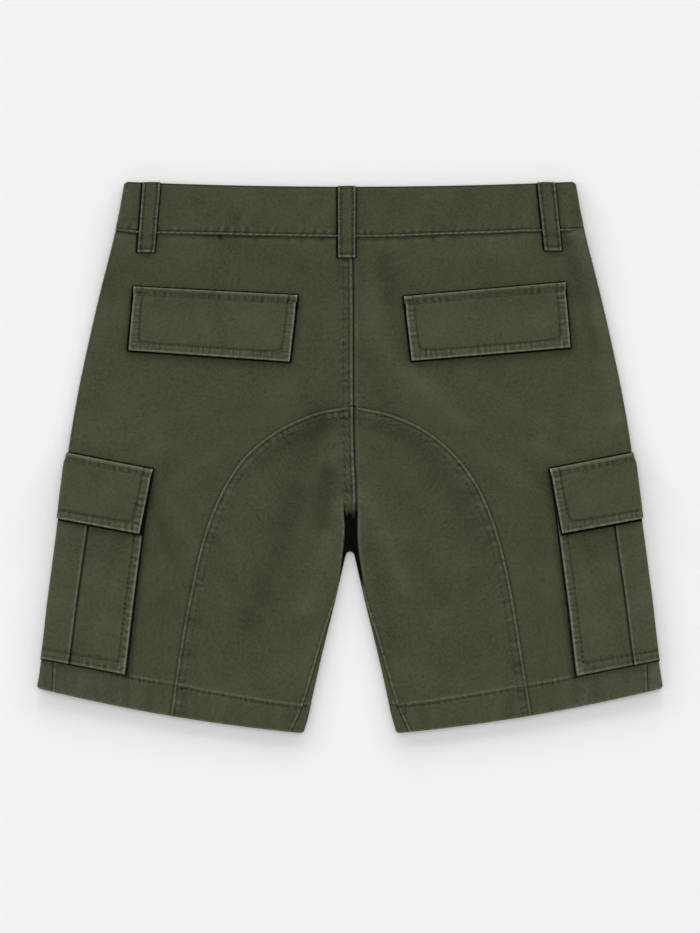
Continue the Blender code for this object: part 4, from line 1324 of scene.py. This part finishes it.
def pocket_columns():
    """Reaches round the fold: gusset, edge, sewing, pleat and fold."""
    near = np.concatenate([EDGE_STEPS[1:], spaced(0.8, 10.0, 0.9)[1:]])
    pleat = np.array([2.4, 1.2, 0.7, 0.4, 0.15, -0.15, -0.4, -0.7, -1.2, -2.4])
    half = np.concatenate([
        POCKET_HALF - near,
        spaced(POCKET_HALF - 10.0, PLEAT_HALF + 3.6, 2.0)[1:],
        PLEAT_HALF + pleat,
        spaced(PLEAT_HALF - 3.6, FOLD_ARC, 2.2)[:-1],
        np.linspace(FOLD_ARC, 0.0, 7)[:-1],
    ])
    return np.concatenate([-half, [0.0], half[::-1]])


POCKET_TALL = POCKET_BOTTOM - POCKET_TOP


def pocket_place(side, reach, share):
    """Where a reach comes to lie: each pocket leans at its top and its pleat narrows."""
    taken = -np.interp(np.abs(reach), *np.array(POCKET_DRAWN[side]).T)
    taken = taken + PLEAT_TAPER * share * bump(np.abs(reach) - PLEAT_HALF, 16.0)
    return reach - np.sign(reach) * taken


def on_cargo_pocket(side, reach, down, fallen=0.0, lift=0.0):
    """Points of a cargo pocket, by reach round the fold and distance down.

    fallen goes to 1 where its edge is turned down to the leg.
    """
    share = down / POCKET_TALL
    at = mix(POCKET_TOP, POCKET_BOTTOM + POCKET_HANG[side], share)
    at = at + mix(FLAP_SLANT, POCKET_SLANT, share) * reach
    placed = round_side(at, pocket_place(side, reach, share), POCKET_PROUD + lift)
    across, drop, turn = np.moveaxis(placed, -1, 0)
    edge = ease((np.abs(reach) - POCKET_HALF) / POCKET_EDGE_RUN + 1.0)
    stand = mix(POCKET_STAND, POCKET_EDGE_STAND, edge)
    stand = stand + PLEAT_RISE * fade((np.abs(reach) - PLEAT_HALF) / 1.0 + 0.5)
    stand = mix(stand, 0.9, fallen) + lift
    low = flap_lift(fold_place(across, drop)[0]) - lift
    high = over(side * across, drop) + stand
    return joined(side * across, drop, at_turn(high, low, turn))


def gusset_width(down):
    return mix(GUSSET_TOP, GUSSET_BOTTOM, down / POCKET_TALL)


def pocket_grid():
    """(reach, distance down) over the pocket, its gusset and its turned-in lower edge."""
    up = np.concatenate([
        EDGE_STEPS[1:], spaced(0.8, 10.0, 0.9)[1:], spaced(10.0, POCKET_TALL, 2.2)[1:]
    ])
    down = (POCKET_TALL - up)[::-1, None]
    # The gusset runs out from the pocket's edge to the leg, wider towards the hem.
    slope = gusset_width(down) * np.linspace(0.0, 1.0, 6)[None, :]
    middle = pocket_columns()[None] + 0.0 * down
    reach = np.concatenate([-POCKET_HALF - slope[:, ::-1], middle, POCKET_HALF + slope], 1)
    turned_in = np.array([0.0, 0.35, 0.7, 1.0]) * POCKET_HEM
    down = np.concatenate([down, POCKET_TALL + turned_in[:, None]])
    reach = np.concatenate([reach, np.repeat(reach[-1:], len(turned_in), 0)])
    return reach, down + 0.0 * reach


def pocket_sewing(finish, side, reach, down, inside, above):
    """Edge roll, sewing round the free edges and the pleat's folds, with painted highlight on the
    edges and painted shade in the grooves.
    """
    nearest = np.minimum(inside, above)
    run = np.where(inside < above, down, reach)
    finish.ridge(nearest - 0.7, 0.85, 0.14, np.where(inside < above, 0.85, 0.38))
    from_sewing = np.minimum(inside - POCKET_SEWING, above - POCKET_LOW_SEWING)
    finish.groove(from_sewing, 0.85, 0.3, 0.4)
    finish.pucker(run, from_sewing, 1.6, 0.08, 4.6, 82 + side, 0.5)
    finish.pucker(run, nearest - 2.8, 2.2, 0.13, 4.8, 80 + side, 0.5)
    finish.groove(above - 2.8, 0.8, 0.1, 0.25)
    off_pleat = np.abs(reach) - PLEAT_HALF
    # Painted highlight on the pleat's fold and painted shade in the fold beside it.
    finish.ridge(off_pleat + 1.2, 0.8, 0.1, 0.5)
    finish.deep += bump(off_pleat - 0.5, 0.95)


def under_cargo_flap(finish, side, reach, down):
    # Painted shadow outline and painted soft shade where the cargo flap lies over the pocket.
    share = down / POCKET_TALL
    slant = mix(FLAP_SLANT, POCKET_SLANT, share) - FLAP_SLANT
    at = mix(POCKET_TOP, POCKET_BOTTOM, share) + slant * reach
    covered = np.clip(at - CARGO_FLAP_TOP, 0.0, CARGO_FLAP_TALL)
    beside = np.abs(reach) - cargo_flap_half(side, covered)
    finish.lies_under(np.maximum(beside, at - CARGO_FLAP_BOTTOM), PIECE_SHADE)


def pocket_tone(finish, side, reach, down, inside, above):
    # Paler cloth: washed all over, more near the fold and at the lower corners.
    soft = ripple(reach + 0.25 * down, 30.0, 86 + side)
    soft = soft + 0.8 * ripple(down - 0.3 * reach, 44.0, 88 + side)
    finish.rise += 0.06 * soft
    paler_at_fold = 1.4 * bump(reach, 22.0)
    finish.wear_and_highlight += FADED * np.clip(0.9 + 0.4 * soft + paler_at_fold, 0.0, 3.0)
    patch = ease((POCKET_SEWING - inside) / 1.2) * ease((POCKET_LOW_SEWING - above) / 1.2)
    finish.wear_and_highlight += 0.22 * patch


def make_cargo_pocket(hand, side, material):
    reach, down = pocket_grid()
    inside, above = POCKET_HALF - np.abs(reach), POCKET_TALL - down
    off_side = np.clip(-inside / gusset_width(down), 0.0, 1.0)
    off_low = np.clip(-above / POCKET_HEM, 0.0, 1.0)
    fallen = np.maximum(ease(off_side * 1.6), off_low)
    points = on_cargo_pocket(side, reach, down, fallen)
    finish = Finish(reach.shape)
    pocket_sewing(finish, side, reach, down, inside, above)
    under_cargo_flap(finish, side, reach, down)
    pocket_tone(finish, side, reach, down, inside, above)
    # The turned-down gusset and lower edge are painted dark as the shade they sit in, with less of
    # it fully dark towards the hem.
    turned = (inside < 0.0) | (above < 0.0)
    black = mix(0.55, 0.10, down / POCKET_TALL)
    turned_shade = 1.25 * fade((off_side - black) / (1.2 - black))
    finish.deep = np.where(turned, turned_shade, finish.deep)
    finish.wear_and_highlight = np.where(turned, 0.0, finish.wear_and_highlight)
    finish.rise = np.where(turned, 0.0, finish.rise)
    return shell(f"cargo_pocket_{hand}_cloth", points, POCKET_CLOTH, finish, material,
                 flip=side > 0)


# ------------------------------------------------------------------- sewing

def surface_of(item):
    points = [vertex.co for vertex in item.data.vertices]
    return BVHTree.FromPolygons(points, [face.vertices for face in item.data.polygons])


def stitch_row(tree, guide, pitch, length):
    """Middles, directions and normals of stitches along a guide on a surface."""
    guide = to_world(guide)
    run = np.concatenate([[0.0], np.cumsum(np.linalg.norm(np.diff(guide, axis=0), axis=1))])
    count = max(int(run[-1] / (pitch * MM)), 1)
    stitches = []
    for place in (np.arange(count) + 0.5) * run[-1] / count:
        found = []
        for part in (-0.5, 0.0, 0.5):
            at = place + part * length * MM
            point = Vector([np.interp(at, run, guide[:, i]) for i in range(3)])
            found.append(tree.find_nearest(point, NEAR * MM))
        start, middle, end = found
        if start[0] and middle[0] and end[0]:
            stitches.append((middle[0], (end[0] - start[0]).normalized(), middle[1]))
    return stitches


def sides_and_bottom(wide, tall, inset, top):
    """Down one side, round two corners and up the other, as (width, down)."""
    low, far = tall - inset, wide - inset
    turn = np.linspace(0.0, math.pi / 2.0, 7)
    curve = joined(
        inset + CORNER_RADIUS * (1.0 - np.cos(turn)), low - CORNER_RADIUS * (1.0 - np.sin(turn))
    )
    other = joined(wide - curve[::-1, 0], curve[::-1, 1])
    corners = np.concatenate([[(inset, top)], curve, other, [(far, top)]])
    steps = np.concatenate([[0.0], np.cumsum(np.hypot(*np.diff(corners, axis=0).T))])
    places = spaced(0.0, steps[-1], 1.0)
    return [np.interp(places, steps, corners[:, i]) for i in (0, 1)]


def on_back(across, drop, lift):
    return joined(across, drop, over(across, drop) + lift)


def centre_guides(top, bottom):
    drop = spaced(top, bottom, 2.0)
    return [on_back(centre_seam(drop) - row, drop, LAP_STAND + ABOVE) for row in CENTRE_ROWS]


def arch_guides(side):
    guides = []
    for row in ARCH_ROWS:
        guide = raised(on_arch(side, np.linspace(ARCH_SHARE + 0.01, 1.0, 160), -row), side)
        guide[..., 2] += LAP_STAND + ABOVE
        guides.append(guide)
    return guides


def hem_guide(side, front):
    inner, outer = inner_fold(LENGTH) + 1.0, side_fold(SIDE_HEM) - 4.0
    across = side * mix(inner, outer, np.linspace(0.0, 1.0, 260))
    drop = hem_edge(across) - hem_sewing(across)
    if front:
        return joined(across, drop, under(across, drop) - ABOVE)
    return on_back(across, drop, ABOVE)


def fly_guides():
    """Down the fly's lapped edge and the centre front seam, and round the fly."""
    drop = spaced(CENTRE_START + 4.0, CROTCH - 6.0, 2.0)
    edge = np.stack([-FLY_EDGE_SEWING + 0.0 * drop, drop], -1)
    curve = np.stack(along(FLY_SEWING, np.linspace(0.0, 1.0, 90)), -1)
    return [np.stack([*row.T, under(*row.T) - ABOVE], -1) for row in (edge, curve)]


def band_guides():
    back = spaced(-206.0, 206.0, 2.0)
    guides = [(back, BAND_TOP + ABOVE)]
    guides += [(spaced(-206.0, 3.0, 2.0), WAIST_LIFT - ABOVE)]
    guides += [(spaced(206.0, 9.0, 2.0), WAIST_LIFT - ABOVE)]
    return [np.stack([across, band_edge(across) - BAND_RIDGE, level + 0.0 * across], -1)
            for across, level in guides]


def loop_guides(layer, ends, drops):
    """Two rows down a belt loop and the tack across its lower end."""
    drop = spaced(drops[0] + 5.0, drops[1] - TACK - 1.5, 1.0)
    half = LOOP_WIDTH / 2.0
    lines = [(LOOP_SEWING - half, drop), (half - LOOP_SEWING, drop)]
    lines.append((spaced(2.4 - half, half - 2.4, 0.5), drops[1] - TACK))
    guides = []
    for beside, drop in lines:
        across = loop_line(ends, drops, drop) + beside
        top = loop_top(across, drop) + LOOP_CLOTH + SEAM_GAP + ABOVE
        guides.append(joined(across, drop, top if layer > 0 else -ABOVE))
    return guides


def flap_paths(wide, tall):
    """Both sewing rows of a flap: round its free edges and along its top."""
    width = spaced(3.0, wide - 3.0, 1.0)
    top = [width, FLAP_TOP_SEWING + 1.6 + 0.0 * width]
    return sides_and_bottom(wide, tall, FLAP_SEWING, 13.0), top


def back_flap_guides(hand, side):
    paths = flap_paths(*back_flap_size(hand))
    return [on_back_flap(hand, side, width, down, ABOVE) for width, down in paths]


def cargo_flap_guides(side):
    wide = 2.0 * CARGO_FLAP_HALF[side][0]
    return [
        on_cargo_flap(side, 2.0 * width / wide - 1.0, down, ABOVE)
        for width, down in flap_paths(wide, CARGO_FLAP_TALL)
    ]


def cargo_pocket_guides(side):
    tall = POCKET_TALL + POCKET_SEWING - POCKET_LOW_SEWING
    width, down = sides_and_bottom(2.0 * POCKET_HALF, tall, POCKET_SEWING, 54.0)
    return [on_cargo_pocket(side, width - POCKET_HALF, down, 0.0, ABOVE)]


def sew(item, guides, material, pitch=STITCH_PITCH, length=STITCH_LENGTH,
        radius=STITCH_RADIUS):
    """Stitches a piece along its guides."""
    tree = surface_of(item)
    stitches = [one for guide in guides for one in stitch_row(tree, guide, pitch, length)]
    name = item.name.replace("_cloth", "_stitches")
    sewn = make_stitches(name, stitches, material, length, radius)
    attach(sewn, "root")


def make_stitches(name, stitches, material, length, radius):
    """All the stitches of a piece as one mesh, each a short rounded thread."""
    sides = STITCH_SIDES
    turn = np.arange(sides) * 2.0 * math.pi / sides
    points, faces = [], []
    for middle, ahead, up in stitches:
        beside = up.cross(ahead).normalized()
        up = ahead.cross(beside).normalized()
        first = len(points)
        for place, width, lift in STITCH_RINGS:
            for angle in turn:
                point = middle + ahead * (place * length * MM)
                point = point + beside * (math.cos(angle) * width * radius * MM)
                point = point + up * ((math.sin(angle) * width + lift) * radius * MM)
                point.z = max(point.z, 0.0)
                points.append(point[:])
        for ring in range(len(STITCH_RINGS) - 1):
            for i in range(sides):
                a, b = first + ring * sides + i, first + ring * sides + (i + 1) % sides
                faces.append((a, b, b + sides, a + sides))
        faces.append(tuple(first + i for i in reversed(range(sides))))
        last = first + (len(STITCH_RINGS) - 1) * sides
        faces.append(tuple(last + i for i in range(sides)))
    return add_mesh(name, points, faces, material)


# ---------------------------------------------------------------- materials

class Thread:
    """A shader socket that can be used in sums as a number is."""

    def __init__(self, weave, socket):
        self.weave = weave
        self.socket = socket

    def math(self, operation, first, second):
        return self.weave.node("ShaderNodeMath", {"operation": operation}, {0: first, 1: second})

    def __add__(self, other):
        return self.math("ADD", self, other)

    def __sub__(self, other):
        return self.math("SUBTRACT", self, other)

    def __rsub__(self, other):
        return self.math("SUBTRACT", other, self)

    def __mul__(self, other):
        return self.math("MULTIPLY", self, other)

    def __truediv__(self, other):
        return self.math("DIVIDE", self, other)

    __radd__ = __add__
    __rmul__ = __mul__

    def wave(self):
        """Sine of the value as whole turns."""
        return self.math("SINE", self * (2.0 * math.pi), 0.0)

    def within(self, low, high):
        """0 below low, 1 above high and a smooth rise between them."""
        settings = {"interpolation_type": "SMOOTHSTEP"}
        sockets = {"Value": self, "From Min": low, "From Max": high}
        return self.weave.node("ShaderNodeMapRange", settings, sockets)


class Weave:
    """The nodes of one material."""

    def __init__(self, name):
        self.material = bpy.data.materials.new(name)
        self.material.use_nodes = True
        self.tree = self.material.node_tree
        self.shader = self.tree.nodes["Principled BSDF"]
        self.place = None       # where the pattern of the cloth is looked up

    def fill(self, item, sockets):
        for key, value in sockets.items():
            if isinstance(value, Thread):
                self.tree.links.new(value.socket, item.inputs[key])
            else:
                item.inputs[key].default_value = value

    def node(self, kind, settings=None, sockets=None, output=0):
        item = self.tree.nodes.new(kind)
        for key, value in (settings or {}).items():
            setattr(item, key, value)
        self.fill(item, sockets or {})
        return Thread(self, item.outputs[output])

    def noise(self, place, scale, detail=2.0, roughness=0.5):
        sockets = {"Vector": place, "Scale": scale, "Detail": detail, "Roughness": roughness}
        return self.node("ShaderNodeTexNoise", {}, sockets)

    def measure(self, name):
        """A value kept at the points of the mesh."""
        return self.node("ShaderNodeAttribute", {"attribute_name": name}, output=2)

    def blend(self, share, first, second):
        settings = {"data_type": "RGBA"}
        return self.node("ShaderNodeMix", settings, {0: share, 6: first, 7: second}, 2)

    def spot(self, *parts):
        return self.node("ShaderNodeCombineXYZ", {}, dict(enumerate(parts)))

    def relief(self, height, distance, strength):
        sockets = {"Height": height, "Distance": distance, "Strength": strength}
        return self.node("ShaderNodeBump", {}, sockets)

    def finish(self, sockets):
        self.fill(self.shader, sockets)
        return self.material


RIB_SPACING = 0.95          # millimetres from rib to rib
WARM_TONE = (0.93, 0.84, 0.78)
# Colour of the deepest painted shade, as a share of the dark olive.
PAINTED_SHADE_TONE = (0.03, 0.03, 0.03)
OUTLINE_EDGE = (0.9, 2.6)   # distances over which the painted shadow outline of a piece ends


def toned(colour, tone):
    return tuple(c * t for c, t in zip(colour, tone)) + (1.0,)


def ribs(weave, warp, weft):
    """The slanting ribs of the twill and the small floats between them."""
    uneven = weave.noise(weave.place, 0.35)
    slant = (warp * 0.82 + weft * RIB_SPACING) / RIB_SPACING + uneven * 0.6
    floats = warp * -0.9 + weft * 1.25
    return slant.wave() * 0.5 + floats.wave() * 0.22


def dyeing(weave, warp, weft, cloth, fleck, mottle):
    """How light the dyed cloth is: flecks, streaks both ways, mottling and fading."""
    along_rib, across_rib = warp - weft, warp + weft
    streak = weave.noise(weave.spot(across_rib * 0.40, along_rib * 0.17), 1.0)
    crossing = weave.noise(weave.spot(across_rib * 0.19, along_rib * 0.38, 7.0), 1.0)
    faded = weave.noise(weave.place, 0.022, 3.0, 0.55)
    shade = 0.5 + (fleck - 0.5) * 0.4 + (streak - 0.5) * 0.33 + (crossing - 0.5) * 0.27
    return shade + (mottle - 0.5) * 0.15 + (faded - 0.5) * 0.4 + cloth * 0.06


def twill_material(name, dark, light, edge):
    """Cotton twill: slanting ribs, flecked dyeing, a pale colour for wear and painted highlights,
    and painted shade and shadow outlines.
    """
    weave = Weave(name)
    grain = weave.node("ShaderNodeUVMap", {"uv_map": "grain"})
    scaled = {0: grain, "Scale": 1.0 / MM}
    weave.place = weave.node("ShaderNodeVectorMath", {"operation": "SCALE"}, scaled)
    warp = weave.node("ShaderNodeSeparateXYZ", {}, {0: weave.place})
    weft = Thread(weave, warp.socket.node.outputs[1])
    cloth = ribs(weave, warp, weft)
    fleck = weave.noise(weave.place, 0.5, 2.0, 0.6)
    mottle = weave.noise(weave.place, 0.15)
    shade = dyeing(weave, warp, weft, cloth, fleck, mottle)
    colour = weave.blend(shade.within(0.0, 1.0), dark, light)
    warm = weave.noise(weave.place, 0.33).within(0.35, 0.65)
    colour = weave.blend(warm * 0.3, colour, toned(light, WARM_TONE))
    patchy = weave.noise(weave.place, 0.22, 3.0, 0.7).within(0.3, 0.68)
    # The pale edge colour stands for wear and painted highlights.
    wear_and_highlight = weave.measure("wear_and_highlight") * (0.35 + patchy * 0.75)
    colour = weave.blend(wear_and_highlight, colour, edge)
    # A painted shadow outline round the pieces lying on this cloth.
    beyond = weave.measure("beyond") + (patchy - 0.5) * 0.5
    outline = 1.0 - beyond.within(*OUTLINE_EDGE)
    # Painted shade, darkening towards near black.
    deep = weave.measure("deep") * (0.75 + patchy * 0.25)
    shaded = 1.0 - (1.0 - deep) * (1.0 - outline)
    colour = weave.blend(shaded, colour, toned(dark, PAINTED_SHADE_TONE))
    relief = cloth * 0.10 + fleck * 0.14 + mottle * 0.06
    return weave.finish({
        "Base Color": colour,
        "Roughness": 0.84 + fleck * 0.1,
        "Normal": weave.relief(relief, 0.0006, 0.55),
        "Sheen Weight": 0.04,
        "Sheen Roughness": 0.5,
        "Specular IOR Level": 0.05,
    })


def plain_place(weave):
    """A place on the piece itself, in metres."""
    return weave.node("ShaderNodeTexCoord", output=3)


def thread_material(name, dark, light):
    weave = Weave(name)
    place = plain_place(weave)
    tone = weave.noise(place, 900.0)
    twist = weave.noise(place, 2600.0, 1.0)
    return weave.finish({
        "Base Color": weave.blend(tone.within(0.3, 0.7), dark, light),
        "Roughness": 0.6 + tone * 0.15,
        "Normal": weave.relief(twist, 0.0002, 0.6),
        "Specular IOR Level": 0.12,
    })


def button_material():
    weave = Weave("horn_button")
    swirl = weave.noise(plain_place(weave), 260.0, 4.0)
    dark, light = (0.030, 0.026, 0.018, 1.0), (0.085, 0.073, 0.050, 1.0)
    return weave.finish({
        "Base Color": weave.blend(swirl.within(0.35, 0.7), dark, light),
        "Roughness": 0.32 + swirl * 0.2,
        "Coat Weight": 0.15,
    })


def floor_material(colour):
    weave = Weave("pale_paper")
    tone = weave.noise(plain_place(weave), 6.0)
    return weave.finish({
        "Base Color": weave.blend(tone, colour, toned(colour, (0.997, 0.997, 0.997))),
        "Roughness": 1.0,
        "Specular IOR Level": 0.0,
    })


# ------------------------------------------------------------ floor and light

FLOOR_HALF = 15.0           # metres
FLOOR_LEVEL = -0.0001


def make_floor(material):
    signs = ((-1, -1), (1, -1), (1, 1), (-1, 1))
    corners = [(x * FLOOR_HALF, y * FLOOR_HALF, FLOOR_LEVEL) for x, y in signs]
    floor = add_mesh("floor", corners, [(0, 1, 2, 3)], material)


# Name, compass direction a lamp shines from, its height above the floor, the width of
# its disc (degrees) and its share of the light on the floor.
LAMPS = (
    ("above", 90.0, 78.0, 80.0, 0.265),
    ("top", 90.0, 15.0, 14.0, 0.05),
    ("top to the left", 116.0, 15.0, 14.0, 0.03),
    ("top to the right", 64.0, 15.0, 14.0, 0.03),
    ("low top", 90.0, 8.0, 8.0, 0.03),
    ("low top to the left", 110.0, 8.0, 8.0, 0.02),
    ("low top to the right", 70.0, 8.0, 8.0, 0.02),
    ("low left", 140.0, 12.0, 10.0, 0.055),
    ("low right", 42.0, 12.0, 10.0, 0.042),
    ("left", 180.0, 30.0, 22.0, 0.075),
    ("right", 0.0, 30.0, 22.0, 0.048),
    ("bottom", 270.0, 28.0, 20.0, 0.02),
)
SKY_STRENGTH = 0.34


def make_sky():
    """Even light all round, as in a pale tent."""
    world = bpy.data.worlds.new("studio")
    world.use_nodes = True
    sky = world.node_tree.nodes["Background"]
    sky.inputs["Color"].default_value = (1.0, 1.0, 1.0, 1.0)
    sky.inputs["Strength"].default_value = SKY_STRENGTH
    bpy.context.scene.world = world


def make_lamp(name, bearing, height, width, share):
    bearing, height = math.radians(bearing), math.radians(height)
    lamp = bpy.data.lights.new(name, "SUN")
    lamp.angle = math.radians(width)
    lamp.energy = math.pi * share / math.sin(height)
    item = bpy.data.objects.new(name, lamp)
    level = math.cos(height)
    aim = Vector((math.cos(bearing) * level, math.sin(bearing) * level, math.sin(height)))
    item.rotation_mode = "QUATERNION"
    item.rotation_quaternion = aim.to_track_quat("Z", "Y")
    bpy.context.scene.collection.objects.link(item)


CAMERA_DISTANCE = 3.0       # metres above the back of the garment
CAMERA_LEVEL = 0.006
CAMERA_SHIFT = -0.00907     # along the garment
SEEN_LONG = 0.8677          # length that fills the view, in metres
SENSOR_WIDTH = 36.0


def make_camera():
    """Straight above the garment."""
    lens = bpy.data.cameras.new("camera")
    lens.sensor_width = SENSOR_WIDTH
    lens.lens = SENSOR_WIDTH * CAMERA_DISTANCE / SEEN_LONG
    camera = bpy.data.objects.new("camera", lens)
    camera.location = (0.0, CAMERA_SHIFT, CAMERA_DISTANCE + CAMERA_LEVEL)
    bpy.context.scene.collection.objects.link(camera)
    bpy.context.scene.camera = camera


# --------------------------------------------------------------------- all


def settle(item, node):
    """Hides a cloth piece's solid and attaches the piece to the root."""
    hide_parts(node)
    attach(item, "root")


def dress(item, kind, hand, guides, thread):
    """Settles one of a pair of pieces and sews it."""
    settle(item, f"{kind}_{hand}")
    sew(item, guides, thread)


def dress_waist(twill, thread, pale_thread):
    band = make_waistband(twill)
    settle(band, "waistband")
    sew(band, band_guides(), pale_thread, *BAND_STITCH)
    for name, layer, ends, drops in BELT_LOOPS:
        loop = make_belt_loop(name, layer, ends, drops, twill)
        settle(loop, name)
        sew(loop, loop_guides(layer, ends, drops), thread)


def dress_side(hand, side, twill, thread):
    """All pieces of one side; the left ones carry the seams of the centre."""
    back_hem, front_hem = [hem_guide(side, False)], [hem_guide(side, True)]
    above, below, fly = [], [], []
    if side < 0:
        above = centre_guides(55.0, ARCH_TOP - 3.0)
        below = centre_guides(ARCH_TOP + 1.0, SLIT_START + 16.0)
        fly = fly_guides()
    arch = below + arch_guides(side)
    dress(make_back_side(hand, side, twill), "back_side", hand, above + back_hem, thread)
    dress(make_back_inner(hand, side, twill), "back_inner", hand, arch + back_hem, thread)
    dress(make_front(hand, side, twill), "front", hand, fly + front_hem, thread)
    rows = back_flap_guides(hand, side)
    dress(make_back_flap(hand, side, twill), "back_flap", hand, rows, thread)
    rows = cargo_pocket_guides(side)
    dress(make_cargo_pocket(hand, side, twill), "cargo_pocket", hand, rows, thread)
    rows = cargo_flap_guides(side)
    dress(make_cargo_flap(hand, side, twill), "cargo_flap", hand, rows, thread)


def dress_button():
    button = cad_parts["waist_button"]
    button.material_slots[0].link = "OBJECT"
    button.material_slots[0].material = button_material()


def main():
    # The twill's last colour is its pale one, for wear and painted highlights.
    twill = twill_material("olive_twill", (0.0217, 0.0231, 0.0116, 1.0),
                           (0.0880, 0.0912, 0.0530, 1.0), (0.21, 0.215, 0.157, 1.0))
    thread = thread_material("olive_thread", (0.027, 0.029, 0.0145, 1.0),
                             (0.068, 0.070, 0.040, 1.0))
    pale_thread = thread_material("pale_thread", (0.085, 0.085, 0.060, 1.0),
                                  (0.150, 0.145, 0.108, 1.0))
    dress_waist(twill, thread, pale_thread)
    for hand, side in (("left", -1), ("right", 1)):
        dress_side(hand, side, twill, thread)
    dress_button()
    make_floor(floor_material((0.87, 0.87, 0.87, 1.0)))
    make_sky()
    for lamp in LAMPS:
        make_lamp(*lamp)
    make_camera()
    bpy.context.scene.view_settings.view_transform = "Standard"


main()
